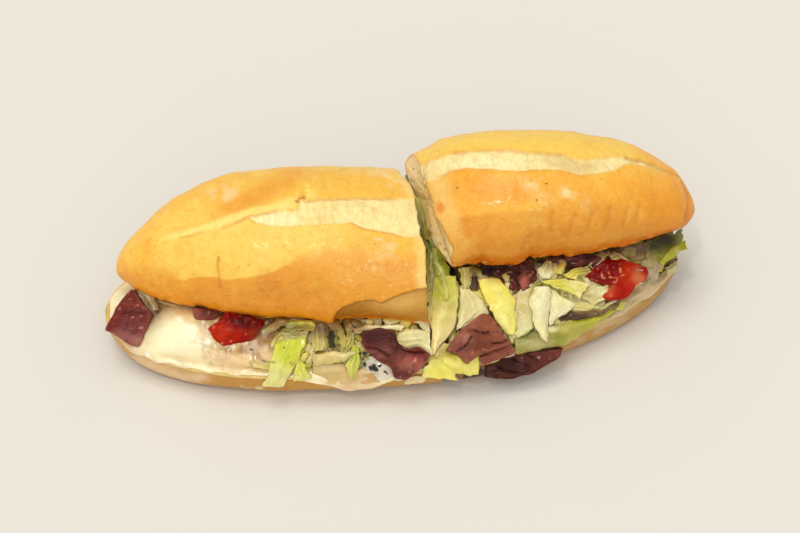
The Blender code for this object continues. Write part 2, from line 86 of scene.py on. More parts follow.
def lumps(points: Array, size: float | Sequence[float], seed: int = 0) -> Array:
    """Soft lumps from -1 to 1: numbers on a lattice of the given size, blended between its eight corners.

    Args:
        points: places, in mm, in the last axis.
        size: the lumps' size in mm, the same each way or along x, y and z.
        seed: which pattern.

    Returns:
        One number for each place.
    """
    scaled = points / np.asarray(size, dtype=float)
    base = np.floor(scaled).astype(np.int64)
    part = scaled - base
    part = part * part * (3 - 2 * part)
    total = np.zeros(points.shape[:-1])
    for corner in range(8):
        step = np.array([corner & 1, corner >> 1 & 1, corner >> 2 & 1])
        weight = np.prod(np.where(step == 1, part, 1 - part), axis=-1)
        total += weight * lattice(*np.moveaxis(base + step, -1, 0), seed)
    return 2 * total - 1


def rough(points: Array, size: float, octaves: int = 3, seed: int = 0) -> Array:
    """Lumps with finer and weaker lumps on them, each half the size and half the height of the last."""
    return sum(lumps(points, size / 2**k, seed + 17 * k) / 2**k for k in range(octaves))


def mixed(base: Array, colour: Sequence[float] | Array, share: Array | float) -> Array:
    """A colour for each vertex, moved towards another colour by a share from 0 to 1."""
    share = np.clip(np.broadcast_to(share, base.shape[:-1]), 0, 1)[..., None]
    return base * (1 - share) + np.asarray(colour) * share


def layered(tint: Array, *layers: tuple[Shade, Array | float]) -> Array:
    """Shades laid over a colour one after another, each by its share."""
    for shade, share in layers:
        tint = mixed(tint, seen(*shade), share)
    return tint


def painted(shape: tuple[int, ...], shade: Shade) -> Array:
    """One shade for every vertex of a grid, as linear light."""
    return np.broadcast_to(np.array(seen(*shade)), (*shape, 3)).copy()


def normals(grid: Array, around: bool = False) -> Array:
    """Unit normals of a grid: the cross product of its two directions' slopes.

    Args:
        grid: points in rows and columns.
        around: whether each row closes on itself.

    Returns:
        A unit vector for each point.
    """
    along = np.gradient(grid, axis=0)
    across = (np.roll(grid, -1, 1) - np.roll(grid, 1, 1)) if around else np.gradient(grid, axis=1)
    normal = np.cross(along, across)
    return normal / np.maximum(np.linalg.norm(normal, axis=-1, keepdims=True), 1e-9)


def outward(grid: Array, row: int, column: int, way: Sequence[float] = (0, 0, 1)) -> Array:
    """Normals of closed rings, all turned over where the one in this row and column doesn't point this way."""
    normal = normals(grid, around=True)
    return normal if normal[row, column] @ np.asarray(way) >= 0 else -normal


def weights(corners: int, count: int) -> Array:
    """How much each corner of a closed ring counts at evenly spread points: Catmull and Rom's cubic.

    Args:
        corners: the corners in the ring.
        count: the points wanted.

    Returns:
        A matrix of count rows and corners columns.
    """
    place = np.arange(count) * corners / count
    first = np.floor(place).astype(int)
    t = place - first
    cubic = np.stack(
        [
            -0.5 * t + t**2 - 0.5 * t**3, 1 - 2.5 * t**2 + 1.5 * t**3, 0.5 * t + 2 * t**2 - 1.5 * t**3,
            -0.5 * t**2 + 0.5 * t**3,
        ]
    )
    matrix = np.zeros((count, corners))
    for k in range(4):
        matrix[np.arange(count), (first + k - 1) % corners] += cubic[k]
    return matrix


def resampled(line: Pixels, count: int) -> Array:
    """Points evenly spread along a broken line."""
    line = np.asarray(line, dtype=float)
    reach = np.r_[0, np.cumsum(np.linalg.norm(np.diff(line, axis=0), axis=1))]
    wanted = np.linspace(0, reach[-1], count)
    return np.stack([np.interp(wanted, reach, line[:, k]) for k in range(line.shape[1])], axis=-1)


def rounded_line(line: Pixels, count: int) -> Array:
    """Points along a broken line whose corners are eased by a short running mean."""
    fine = resampled(line, count * 4)
    padded = np.pad(fine, ((4, 4), (0, 0)), mode="edge")
    return resampled(sum(padded[k : k + len(fine)] for k in range(9)) / 9, count)


# ---------------------------------------------------------------------------------------------------------------
# meshes


@dataclass
class Skin:
    """A closed surface under construction, with a colour and a wetness at each vertex."""

    points: list[Array] = field(default_factory=list)
    tints: list[Array] = field(default_factory=list)
    wets: list[Array] = field(default_factory=list)
    quads: list[Array] = field(default_factory=list)
    fans: list[Array] = field(default_factory=list)
    count: int = 0

    def _put(self, points: Array, tint: Array, wet: Array) -> int:
        """Adds vertices and returns the first one's number."""
        first = self.count
        self.points.append(points.reshape(-1, 3))
        self.tints.append(tint.reshape(-1, 3))
        self.wets.append(wet.reshape(-1))
        self.count += len(self.points[-1])
        return first

    def tube(self, grid: Array, tint: Array, wet: Array | float = 0) -> None:
        """Rings joined one to the next, with the first and the last closed by a fan to their middle.

        Args:
            grid: one ring of points in each row.
            tint: a colour for each point.
            wet: how wet each point is, 0 to 1.
        """
        rows, columns = grid.shape[:2]
        wet = np.broadcast_to(wet, (rows, columns))
        ring = np.arange(rows * columns).reshape(rows, columns)
        after = np.roll(ring, -1, axis=1)
        ends = np.stack([grid[0].mean(0), grid[-1].mean(0)])
        centre = grid.reshape(-1, 3).mean(0)
        quads = np.stack([ring[:-1], after[:-1], after[1:], ring[1:]], -1).reshape(-1, 4)
        a, b, c, d = (grid.reshape(-1, 3)[quads[:, k]] - centre for k in range(4))
        inside_out = (np.cross(a, b) * c).sum() + (np.cross(a, c) * d).sum() < 0
        first = self._put(grid, tint, wet)
        pole = self._put(ends, np.stack([tint[0].mean(0), tint[-1].mean(0)]), np.array([wet[0].mean(), wet[-1].mean()]))
        fans = np.concatenate([
            np.stack([np.full(columns, pole), after[0] + first, ring[0] + first], -1),
            np.stack([np.full(columns, pole + 1), ring[-1] + first, after[-1] + first], -1),
        ])
        quads = quads + first
        self.quads.append(quads[:, ::-1] if inside_out else quads)
        self.fans.append(fans[:, ::-1] if inside_out else fans)

    def pillow(
        self, grid: Array, thickness: Array | float, tint: Array, wet: Array | float = 0
    ) -> None:
        """A thin solid: the grid is its upper face, and its lower face lies behind it and meets it at the rim.

        Args:
            grid: the upper face, whose normals point out.
            thickness: in mm, away from the rim.
            tint: a colour for each point.
            wet: how wet each point is, 0 to 1.
        """
        rows, columns = grid.shape[:2]
        wet = np.broadcast_to(wet, (rows, columns))
        under = grid - normals(grid) * np.broadcast_to(thickness, (rows, columns))[..., None]
        top = np.arange(rows * columns).reshape(rows, columns)
        first = self._put(grid, tint, wet)
        inner = (slice(1, -1), slice(1, -1))
        second = self._put(under[inner], tint[inner], wet[inner])
        low = top + first
        low[inner] = np.arange((rows - 2) * (columns - 2)).reshape(rows - 2, columns - 2) + second
        top = top + first
        for index, turned in ((top, False), (low, True)):
            quads = np.stack([index[:-1, :-1], index[1:, :-1], index[1:, 1:], index[:-1, 1:]], -1).reshape(-1, 4)
            self.quads.append(quads[:, ::-1] if turned else quads)

    def piece(self, name: str, finish: "Finish", *nodes: str) -> bpy.types.Object:
        """Makes the object, dresses it and lets it ride and stand for its CAD nodes.

        Args:
            name: the piece's name.
            finish: its material.
            nodes: the CAD nodes that it replaces.

        Returns:
            The new object.
        """
        points = (np.concatenate(self.points) + DRAWING_TO_FRAME) * MM
        low, high = np.array(CAD_BOX[0]), np.array(CAD_BOX[1])
        points = np.clip(points, low + 1e-5, high - 1e-5)
        mesh = bpy.data.meshes.new(name)
        faces = np.concatenate(self.quads).tolist() + (np.concatenate(self.fans).tolist() if self.fans else [])
        mesh.from_pydata(points.tolist(), [], faces)
        tint = mesh.attributes.new("tint", "FLOAT_COLOR", "POINT")
        shown = np.concatenate([np.clip(np.concatenate(self.tints), 0, 1), np.ones((self.count, 1))], axis=1)
        tint.data.foreach_set("color", shown.astype(np.float32).ravel())
        wet = mesh.attributes.new("wet", "FLOAT", "POINT")
        wet.data.foreach_set("value", np.concatenate(self.wets).astype(np.float32))
        mesh.polygons.foreach_set("use_smooth", np.ones(len(faces), dtype=bool))
        mesh.update()
        obj = bpy.data.objects.new(name, mesh)
        bpy.context.scene.collection.objects.link(obj)
        obj.data.materials.append(finish.make())
        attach(obj, "root")
        if nodes:
            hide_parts(*nodes)
        LOG.info("%s: %d faces", name, len(faces))
        return obj


# ---------------------------------------------------------------------------------------------------------------
# the camera, and what it says of where things lie


@dataclass(frozen=True)
class Lens:
    """The photograph's view: where the camera stands and how a place falls in the picture, 800 by 533."""

    elevation: float = 48
    azimuth: float = -6
    focal: float = 80
    sensor: float = 36
    distance: float = 860.44
    target: tuple[float, float, float] = (0, -2, 30)
    middle: tuple[float, float] = (400, 266.5)

    def axes(self) -> tuple[Array, Array, Array, Array]:
        """The camera's place, and its right, up and backward directions."""
        e, a = math.radians(self.elevation), math.radians(self.azimuth)
        back = np.array([math.sin(a) * math.cos(e), -math.cos(a) * math.cos(e), math.sin(e)])
        right = np.array([math.cos(a), math.sin(a), 0])
        return np.array(self.target) + back * self.distance, right, np.cross(back, right), back

    def scale(self) -> float:
        """Pixels for a unit of slope away from the view's axis."""
        return self.focal / self.sensor * 800

    def pixels(self, points: Array) -> Array:
        """Where places fall in the picture."""
        eye, right, up, back = self.axes()
        away = points - eye
        depth = -(away @ back)
        across, rise = (away @ right) / depth, (away @ up) / depth
        return np.stack([self.middle[0] + self.scale() * across, self.middle[1] - self.scale() * rise], -1)

    def rays(self, pixels: Array) -> tuple[Array, Array]:
        """The camera's place and the direction in which each pixel looks."""
        eye, right, up, back = self.axes()
        across = (pixels[..., :1] - self.middle[0]) / self.scale()
        rise = -(pixels[..., 1:] - self.middle[1]) / self.scale()
        return eye, right * across + up * rise - back

    def build(self) -> None:
        """Sets up the camera."""
        eye, right, up, back = self.axes()
        data = bpy.data.cameras.new("camera")
        data.lens, data.sensor_width, data.sensor_fit = self.focal, self.sensor, "HORIZONTAL"
        data.clip_start, data.clip_end = 0.01, 20
        obj = bpy.data.objects.new("camera", data)
        place = np.eye(4)
        place[:3, 0], place[:3, 1], place[:3, 2] = right, up, back
        place[:3, 3] = (eye + DRAWING_TO_FRAME) * MM
        obj.matrix_world = Matrix(place.tolist())
        bpy.context.scene.collection.objects.link(obj)
        bpy.context.scene.camera = obj


LENS = Lens()


@dataclass
class Sketch:
    """Marks on a surface, drawn where the photograph shows them; what faces away keeps none."""

    points: Array
    facing: Array
    wobble: float = 0.8

    def __post_init__(self) -> None:
        """Works out where each vertex falls in the picture, with a small drift so that no line is ruled."""
        drift = np.stack([rough(self.points, 5, 3, 91), rough(self.points, 5, 3, 92)], axis=-1)
        self.spots = LENS.pixels(self.points) + self.wobble * drift
        self.x, self.y = self.spots[..., 0], self.spots[..., 1]
        eye = LENS.axes()[0]
        toward = eye - self.points
        toward /= np.linalg.norm(toward, axis=-1, keepdims=True)
        self.shown = smooth((self.facing * toward).sum(-1), 0, 0.25)

    def below(self, line: Pixels, soft: float = 2) -> Array:
        """1 under a line drawn from left to right, and 0 over it, changing over so many pixels."""
        xs, ys = np.asarray(line, dtype=float).T
        return smooth(self.y - np.interp(self.x, xs, ys), -soft, soft)

    def band(self, upper: Pixels, lower: Pixels, soft: float = 1.5) -> Array:
        """1 between two lines drawn from left to right."""
        return self.below(upper, soft) * (1 - self.below(lower, soft))

    def span(self, left: float, right: float, soft: float = 8) -> Array:
        """1 between two upright lines."""
        return smooth(self.x, left - soft, left + soft) * (1 - smooth(self.x, right - soft, right + soft))

    def near(self, line: Pixels, width: float) -> Array:
        """1 on a line, fading with the square of the distance over the width, in pixels."""
        line = np.asarray(line, dtype=float)
        best = np.full(self.x.shape, 1e9)
        for start, end in zip(line[:-1], line[1:]):
            step = end - start
            along = np.clip(((self.spots - start) @ step) / max(step @ step, 1e-9), 0, 1)
            best = np.minimum(best, ((self.spots - start - along[..., None] * step) ** 2).sum(-1))
        return np.exp(-best / width**2) * self.shown

    def spot(self, x: float, y: float, wide: float, high: float, turn: float = 0, soft: float = 0.5) -> Array:
        """1 in an ellipse with these half sizes, turned clockwise by degrees, with a soft rim."""
        c, s = math.cos(math.radians(turn)), math.sin(math.radians(turn))
        dx, dy = self.x - x, self.y - y
        reach = np.sqrt(((dx * c + dy * s) / wide) ** 2 + ((dy * c - dx * s) / high) ** 2)
        return (1 - smooth(reach, 1 - soft, 1 + soft)) * self.shown


def dabbed(tint: Array, sketch: Sketch, marks: tuple) -> Array:
    """Colours with soft ellipses over them, each x, y, half sizes, shade and strength."""
    for x, y, wide, high, shade, strength in marks:
        tint = mixed(tint, seen(*shade), sketch.spot(x, y, wide, high, 0, 0.7 if wide > 3 else 0.4) * strength)
    return tint


# ---------------------------------------------------------------------------------------------------------------
# finishes


class Link:
    """A shader value that adds Math nodes when it is reckoned with."""

    def __init__(self, tree: bpy.types.NodeTree, socket: bpy.types.NodeSocket) -> None:
        """Keeps the node tree and the output socket."""
        self.tree, self.socket = tree, socket

    def _reckon(self, operation: str, first: Any, second: Any) -> "Link":
        """One Math node on two values or links."""
        node = self.tree.nodes.new("ShaderNodeMath")
        node.operation = operation
        for place, value in enumerate((first, second)):
            if isinstance(value, Link):
                self.tree.links.new(value.socket, node.inputs[place])
            else:
                node.inputs[place].default_value = value
        return Link(self.tree, node.outputs[0])

    def __add__(self, other: Any) -> "Link":
        """Sum."""
        return self._reckon("ADD", self, other)

    def __radd__(self, other: Any) -> "Link":
        """Sum."""
        return self._reckon("ADD", other, self)

    def __sub__(self, other: Any) -> "Link":
        """Difference."""
        return self._reckon("SUBTRACT", self, other)

    def __rsub__(self, other: Any) -> "Link":
        """Difference."""
        return self._reckon("SUBTRACT", other, self)

    def __mul__(self, other: Any) -> "Link":
        """Product."""
        return self._reckon("MULTIPLY", self, other)

    def __rmul__(self, other: Any) -> "Link":
        """Product."""
        return self._reckon("MULTIPLY", other, self)

    def over(self, low: float, high: float) -> "Link":
        """0 below low and 1 above high."""
        node = self.tree.nodes.new("ShaderNodeMapRange")
        node.inputs["From Min"].default_value, node.inputs["From Max"].default_value = low, high
        self.tree.links.new(self.socket, node.inputs["Value"])
        return Link(self.tree, node.outputs["Result"])


class Bench:
    """A material's node tree, and the one way that nodes are put in it."""

    def __init__(self, material: bpy.types.Material) -> None:
        """Starts from the material's Principled shader."""
        material.use_nodes = True
        self.tree = material.node_tree
        self.shader = self.tree.nodes["Principled BSDF"]

    def node(
        self, kind: str, settings: dict[str, Any] | None = None, sockets: dict[Any, Any] | None = None
    ) -> bpy.types.Node:
        """Adds a node.

        Args:
            kind: the node's type.
            settings: its own settings, made first.
            sockets: values or links for its inputs, by name or number.

        Returns:
            The node.
        """
        node = self.tree.nodes.new(kind)
        for name, value in (settings or {}).items():
            setattr(node, name, value)
        for name, value in (sockets or {}).items():
            if isinstance(value, Link):
                self.tree.links.new(value.socket, node.inputs[name])
            else:
                node.inputs[name].default_value = value
        return node

    def out(self, node: bpy.types.Node, name: str | int = 0) -> Link:
        """One output of a node."""
        return Link(self.tree, node.outputs[name])

    def attribute(self, name: str, output: str) -> Link:
        """What a mesh carries under this name."""
        return self.out(self.node("ShaderNodeAttribute", {"attribute_name": name}), output)

    def place(self) -> Link:
        """The place on the object, in mm."""
        spot = self.out(self.node("ShaderNodeTexCoord"), "Object")
        return self.out(self.node("ShaderNodeVectorMath", {"operation": "SCALE"}, {0: spot, "Scale": 1000}))

    def noise(self, place: Link, size: float, detail: float = 3) -> Link:
        """Cloudy noise whose lumps have this size in mm."""
        return self.out(self.node("ShaderNodeTexNoise", {}, {"Vector": place, "Scale": 1 / size, "Detail": detail}))

    def cells(self, place: Link, size: float) -> Link:
        """Distance to the nearest of scattered points this far apart, in mm."""
        return self.out(self.node("ShaderNodeTexVoronoi", {}, {"Vector": place, "Scale": 1 / size}))

    def blend(self, share: Link | float, first: Any, second: Any, kind: str = "MIX") -> Link:
        """A Mix node on two colours."""
        node = self.node("ShaderNodeMix", {"data_type": "RGBA", "blend_type": kind}, {0: share, 6: first, 7: second})
        return self.out(node, 2)

    def feed(self, **links: Link) -> None:
        """Joins links to the shader's sockets, named with underscores for spaces."""
        for name, link in links.items():
            self.tree.links.new(link.socket, self.shader.inputs[name.replace("_", " ")])


class Kind(Enum):
    """What a finish imitates, which says which fine marks it gets."""

    CRUST = "crust"
    SAUCE = "sauce"
    MEAT = "meat"
    FLESH = "flesh"
    LEAF = "leaf"
    SPECK = "speck"


@dataclass(frozen=True)
class Finish:
    """A food's surface: its colour comes from the mesh, its fine marks, gloss and grain from here."""

    name: str
    slot: str
    kind: Kind
    dry: float
    glossy: float
    grain_size: float
    grain_depth: float
    mottle_size: float
    mottle: float
    dark: Colour
    coat: float = 0
    subsurface: float = 0
    reach: tuple[float, float, float] = (0.004, 0.002, 0.001)
    specular: float = 0.5
    warmth: Colour = (1, 1, 1)

    def make(self) -> bpy.types.Material:
        """Builds the material once, and returns it."""
        material = bpy.data.materials.get(self.name)
        if material:
            return material
        material = bpy.data.materials.new(self.name)
        bench = Bench(material)
        place, tint, wet = bench.place(), bench.attribute("tint", "Color"), bench.attribute("wet", "Fac")
        if self.warmth != (1, 1, 1):
            tint = bench.blend(1, tint, (*self.warmth, 1), "MULTIPLY")
        cloud = bench.noise(place, self.mottle_size)
        dark = (*self.dark, 1)
        colour = bench.blend(cloud.over(0.42, 0.78) * self.mottle, tint, dark, "MULTIPLY")
        fine = bench.noise(place, self.grain_size)
        height = fine
        if self.kind is Kind.CRUST:
            pores = bench.cells(place, 1.1)
            height = height + pores.over(0, 0.45) * 0.35
            freckles = (1 - bench.noise(place, 1.3, 2).over(0.3, 0.36)) * bench.noise(place, 9).over(0.45, 0.6)
            colour = bench.blend(freckles * 0.35, colour, (*seen(150, 90, 30), 1))
        elif self.kind is Kind.MEAT:
            stretched = bench.out(
                bench.node(
                    "ShaderNodeMapping", {}, {"Vector": place, "Rotation": (0.5, 0.7, 0.9), "Scale": (0.22, 1, 1)},
                )
            )
            fibres = bench.noise(stretched, 0.9)
            patch = bench.noise(place, 6).over(0.42, 0.62)
            height = height + fibres * 0.7
            colour = bench.blend(fibres.over(0.5, 0.75) * patch * 0.3, colour, (*seen(176, 112, 104), 1))
            colour = bench.blend(bench.noise(place, 2.6).over(0.56, 0.72) * 0.5, colour, (*seen(44, 18, 12), 1))
        elif self.kind is Kind.LEAF:
            veins = 1 - bench.out(bench.node(
                "ShaderNodeTexVoronoi", {"feature": "DISTANCE_TO_EDGE"}, {"Vector": place, "Scale": 1 / 3.6}
            )).over(0, 0.09)
            height = height + veins * 0.35
            colour = bench.blend(veins * 0.35, colour, (1.3, 1.3, 1.6, 1), "MULTIPLY")
        bump = bench.node(
            "ShaderNodeBump", {}, {"Strength": 1, "Distance": self.grain_depth * MM, "Height": height}
        )
        bench.feed(
            Base_Color=colour,
            Roughness=(1 - wet) * self.dry + wet * self.glossy,
            Normal=bench.out(bump, "Normal"),
        )
        if self.coat:
            bench.feed(Coat_Weight=wet * self.coat)
            bench.shader.inputs["Coat Roughness"].default_value = 0.12
        inputs = bench.shader.inputs
        inputs["Specular IOR Level"].default_value = self.specular
        if self.subsurface:
            inputs["Subsurface Weight"].default_value = self.subsurface
            inputs["Subsurface Radius"].default_value = self.reach
            inputs["Subsurface Scale"].default_value = 1
        return material


CRUST = Finish(
    "baked crust", "crust", Kind.CRUST, 0.46, 0.16, 1.7, 0.42, 3.2, 0.3, seen(236, 196, 150), coat=0.6, specular=0.3,
    warmth=(0.97, 0.95, 0.6),
)
SAUCE = Finish(
    "spread sauce", "sauce", Kind.SAUCE, 0.4, 0.14, 3, 0.15, 9, 0.15, seen(240, 220, 190), coat=0.6, subsurface=0.2,
    warmth=(1, 0.98, 0.86),
)
MEAT = Finish(
    "sliced beef", "beef", Kind.MEAT, 0.5, 0.2, 1.6, 0.7, 3, 0.5, seen(190, 140, 120), coat=0.16, specular=0.12,
    warmth=(0.94, 0.62, 0.46),
)
FLESH = Finish(
    "cut tomato", "tomato", Kind.FLESH, 0.3, 0.08, 2.5, 0.5, 4, 0.3, seen(200, 110, 90), coat=0.14, specular=0.08,
    warmth=(0.68, 0.3, 0.12),
)
LEAF = Finish(
    "cut lettuce", "lettuce", Kind.LEAF, 0.5, 0.14, 1.8, 0.3, 4, 0.25, seen(215, 212, 130), coat=0.6, subsurface=0.35,
    specular=0.35, warmth=(1.06, 0.93, 0.66),
)
SPECK = Finish("cracked pepper", "beef", Kind.SPECK, 0.7, 0.3, 0.6, 0.2, 1, 0.4, seen(120, 100, 90))


# ---------------------------------------------------------------------------------------------------------------
# bread


def taper(share: Array, fullness: float, bluntness: float) -> Array:
    """How wide the loaf still is: one less the share to the power fullness, and the bluntness's root of that."""
    return np.maximum(0, 1 - share**fullness) ** (1 / bluntness)


@dataclass(frozen=True)
class Loaf:
    """Plan of half a loaf, from the knife's cut to the tip, in the drawing's millimetres."""

    cut_x: float
    cut_y: float
    tip_x: float
    tip_y: float
    half_width: float
    fullness: float
    bluntness: float
    bow: float
    slant: float

    def half(self, share: Array) -> Array:
        """Half width."""
        return self.half_width * taper(share, self.fullness, self.bluntness)

    def middle(self, share: Array) -> Array:
        """y of the middle line: straight from cut to tip with a bow on it."""
        return self.cut_y + (self.tip_y - self.cut_y) * share + self.bow * 4 * share * (1 - share)

    def place(self, share: Array, y: Array, z: Array) -> Array:
        """A point; near the cut, x leans with y as the knife did."""
        x = self.cut_x + (self.tip_x - self.cut_x) * share - self.slant * (y - self.cut_y) * (1 - share) ** 2
        return np.stack(np.broadcast_arrays(x, y, z), axis=-1)

    def edge(self, side: float) -> tuple[Array, Array]:
        """x and y along the front (-1) or back (1) outline, with x rising."""
        share = 1 - np.linspace(0, 1, 400) ** 2
        points = self.place(share, self.middle(share) + side * self.half(share), 0 * share)
        order = np.argsort(points[:, 0])
        return points[order, 0], points[order, 1]


def tip_rows(count: int, last: float = 1) -> Array:
    """Shares from 0 to almost the tip, closer together towards it."""
    return last * (1 - (1 - np.linspace(0, 1, count)[:, None] * (1 - 1 / count)) ** 1.35)


@dataclass(frozen=True)
class LidShape:
    """An upper piece of bread: a dome over the loaf's plan, flat below."""

    loaf: Loaf
    base: float
    height: float
    squash: float
    squash_length: float
    boxiness: float = 2.35
    tuck: float = 0.08

    def surface(self, rows: int, dome: int, floor: int) -> tuple[Array, Array, Array, Array]:
        """The crust and the underside in rings, from the cut to the tip.

        The dome is a superellipse over the width, lower near the cut, drawn in a little at its foot.

        Args:
            rows: rings from cut to tip.
            dome: points over the dome.
            floor: points across the underside.

        Returns:
            The points, and each one's share of the way, angle over the dome (front is pi; -1 below) and
            place across, from -1 in front to 1 behind.
        """
        share = tip_rows(rows)
        angle = np.linspace(math.pi, 0, dome)[None, :]
        c, s = np.cos(angle), np.maximum(np.sin(angle), 0)
        across, rise = np.sign(c) * np.abs(c) ** (2 / self.boxiness), s ** (2 / self.boxiness)
        across = across * (1 - self.tuck * np.maximum(0, 1 - rise / 0.3) ** 2)
        high = self.height * (1 - self.squash * np.exp(-share / self.squash_length)) * taper(share, 2.4, 1.75)
        below = np.linspace(1, -1, floor + 2)[None, 1:-1] * (1 - self.tuck)
        wide = np.concatenate([across, below], axis=1)
        lift = np.concatenate([rise, np.zeros_like(below)], axis=1)
        y = self.loaf.middle(share) + self.loaf.half(share) * wide
        z = self.base + high * lift
        points = self.loaf.place(share, y, z)
        angles = np.concatenate([angle, np.full_like(below, -1)], axis=1)
        shape = points.shape[:2]
        return points, np.broadcast_to(share, shape), np.broadcast_to(angles, shape), np.broadcast_to(wide, shape)


@dataclass(frozen=True)
class Outline:
    """A lid's edges in the photograph: its front rim, its far side, and the crust's and the underside's cut."""

    rim: Pixels
    back: Pixels
    cut: Pixels
    under: Pixels


def fitted(points: Array, share: Array, angle: Array, wide: Array, outline: Outline) -> Array:
    """Bends a lid a little, so that its rim, back and cut fall on the lines that the photograph shows.

    Each line's distance in pixels is turned into millimetres down and forward, or sideways at the cut, and
    fades out over the dome.

    Args:
        points: the lid's grid.
        share: how far along each point is.
        angle: its angle over the dome.
        wide: its place across.
        outline: the lines, the first two from left to right and the others from top to bottom.

    Returns:
        The bent grid.
    """
    near_rim = smooth(-wide, 0.2, 1) * np.where(angle < 0, 1, smooth(angle, 2, 3.05))
    spots = LENS.pixels(points[:, 0])
    off = np.clip(np.interp(spots[:, 0], *np.asarray(outline.rim, dtype=float).T) - spots[:, 1], -6, 11)
    round_tip = (1 - smooth(share[:, :1], 0.93, 0.99))[..., None]
    mm_forward_and_down = np.array([0, -0.33, -0.33])
    points = points + round_tip * near_rim[..., None] * off[:, None, None] * mm_forward_and_down
    spots = LENS.pixels(points)
    high = np.argmin(spots[..., 1], axis=1)
    rows = np.arange(len(points))
    off = np.interp(spots[rows, high, 0], *np.asarray(outline.back, dtype=float).T) - spots[rows, high, 1]
    near_back = smooth(2 - angle, 0, 1.3) * (angle >= 0) + (angle < 0) * smooth(wide, 0, 1)
    points = points + round_tip * near_back[..., None] * np.clip(off, -7, 7)[:, None, None] * mm_forward_and_down
    spots = LENS.pixels(points[0])
    high = smooth(points[0, :, 2] - points[0, :, 2].min(), 1, 16)
    lines = [np.interp(spots[:, 1], *np.asarray(line, dtype=float).T[::-1]) for line in (outline.cut, outline.under)]
    off = np.clip(lines[0] * high + lines[1] * (1 - high) - spots[:, 0], -14, 14)
    off = sum(np.roll(off, k) for k in range(-3, 4)) / 7 + 0.7 * rough(points[0], 4, 3, 87)
    fade = np.clip(1 - share / 0.22, 0, 1) ** 2
    return points + (fade * off[None, :] * 0.485)[..., None] * np.array([1, 0, 0])


def with_cut(
    points: Array, tint: Array, wet: Array, crumb: Shade, hole: Shade, seed: int
) -> tuple[Array, Array, Array]:
    """Adds the knife's cut before the first ring: rings that shrink to its middle, with crumb holes.

    Args:
        points: the bread's rings.
        tint: their colours.
        wet: their wetness.
        crumb: the crumb's shade.
        hole: the shade in its holes.
        seed: which pattern of holes.

    Returns:
        The longer grid with its colours and wetness.
    """
    edge = points[0]
    middle = edge.mean(0)
    shares = np.r_[np.linspace(0.03, 0.93, 44), 0.965, 0.99][:, None, None]
    rings = middle + (edge - middle) * shares
    inward = points[6].mean(0) - middle
    inward = inward / np.linalg.norm(inward)
    holes = smooth(lumps(rings, 1.9, seed) + 0.8 * lumps(rings, 1, seed + 5), 0.3, 1.1)
    sunk = (0.25 * rough(rings, 6, 2, seed + 9) + 0.9 * holes) * (1 - smooth(shares[..., 0], 0.93, 1))
    rings = rings + inward * np.maximum(sunk, -0.1)[..., None]
    crust = smooth(np.broadcast_to(shares[..., 0], holes.shape), 0.955, 0.985)
    face = layered(painted(rings.shape[:2], crumb), (hole, 0.75 * holes), ((225, 150, 70), crust))
    return (
        np.concatenate([rings, points]), np.concatenate([face, tint]), np.concatenate([np.zeros(holes.shape), wet])
    )


def browned(tint: Array, points: Array, seed: int) -> Array:
    """Baking's uneven colour: patches of deeper orange and of paler gold, and small brown flecks.

    Args:
        tint: the crust's colours.
        points: its vertices.
        seed: which pattern.

    Returns:
        The new colours.
    """
    tint = mixed(tint, tint * np.array([0.93, 0.80, 0.52]), smooth(rough(points, 10, 4, seed), 0.1, 1.1) * 0.6)
    tint = mixed(tint, np.sqrt(np.maximum(tint, 0)), smooth(rough(points, 8, 4, seed + 1), 0.2, 1.3) * 0.22)
    tint = mixed(tint, tint * np.array([0.95, 0.86, 0.62]), smooth(rough(points, 3.2, 3, seed + 4), 0.1, 0.9) * 0.4)
    tint = mixed(tint, np.sqrt(np.maximum(tint, 0)), smooth(rough(points, 2.8, 3, seed + 5), 0.4, 1.1) * 0.2)
    fleck = smooth(lumps(points, 1.1, seed + 2), 0.62, 0.95) * smooth(rough(points, 9, 2, seed + 3), -0.1, 0.7)
    return mixed(tint, tint * np.array([0.72, 0.5, 0.3]), fleck * 0.5)


@dataclass
class Crust:
    """A lid's surface while it is dressed: vertices, shares from the cut, angles, 1 on the dome, and the marks."""

    points: Array
    share: Array
    angle: Array
    dome: Array
    sketch: Sketch


@dataclass(frozen=True)
class Lid:
    """An upper bread, bent to the photograph's lines; each half gives its own relief and colours."""

    side: str
    shape: LidShape
    outline: Outline
    crumb: Shade
    hole: Shade
    ragged: tuple[float, float, int]
    seed: int

    def build(self) -> None:
        """The lid's crust with its relief and ragged rim, and the cut's crumb."""
        points, share, angle, wide = self.shape.surface(rows=250, dome=226, floor=44)
        points = fitted(points, share, angle, wide, self.outline)
        normal = outward(points, 100, 110)
        dome = (angle >= 0).astype(float)
        crust = Crust(points, share, angle, dome, Sketch(points, normal))
        relief, wet, marks = self.relief(crust)
        much, size, seed = self.ragged
        ragged = much * rough(points, size, 3, seed) * smooth(angle, 2.8, 3.1) * dome
        points = points + normal * (relief * dome)[..., None]
        points[..., 2] += ragged
        crust.points = points
        tint = self.colours(crust, *marks)
        wet = np.clip(wet * dome, 0, 1)
        skin = Skin()
        skin.tube(*with_cut(points, tint, wet, self.crumb, self.hole, self.seed - 30))
        skin.piece(f"lid_{self.side}_bread", CRUST, f"lid_{self.side}")

    def torn(self, points: Array, slash: Array, *shades: Shade) -> list[tuple[Shade, Array]]:
        """The slash's uneven crumb: layers of lumps, of clouds and of fibres across it."""
        seed = self.seed
        lumpy, cloudy = smooth(lumps(points, 1.6, seed), 0.2, 0.9), smooth(rough(points, 6, 3, seed + 2), 0.1, 1)
        fibres = smooth(lumps(points, (1.1, 9, 9), seed + 5), 0.1, 0.9)
        return [(shade, slash * kind * 0.5) for shade, kind in zip(shades, (lumpy, cloudy, fibres))]


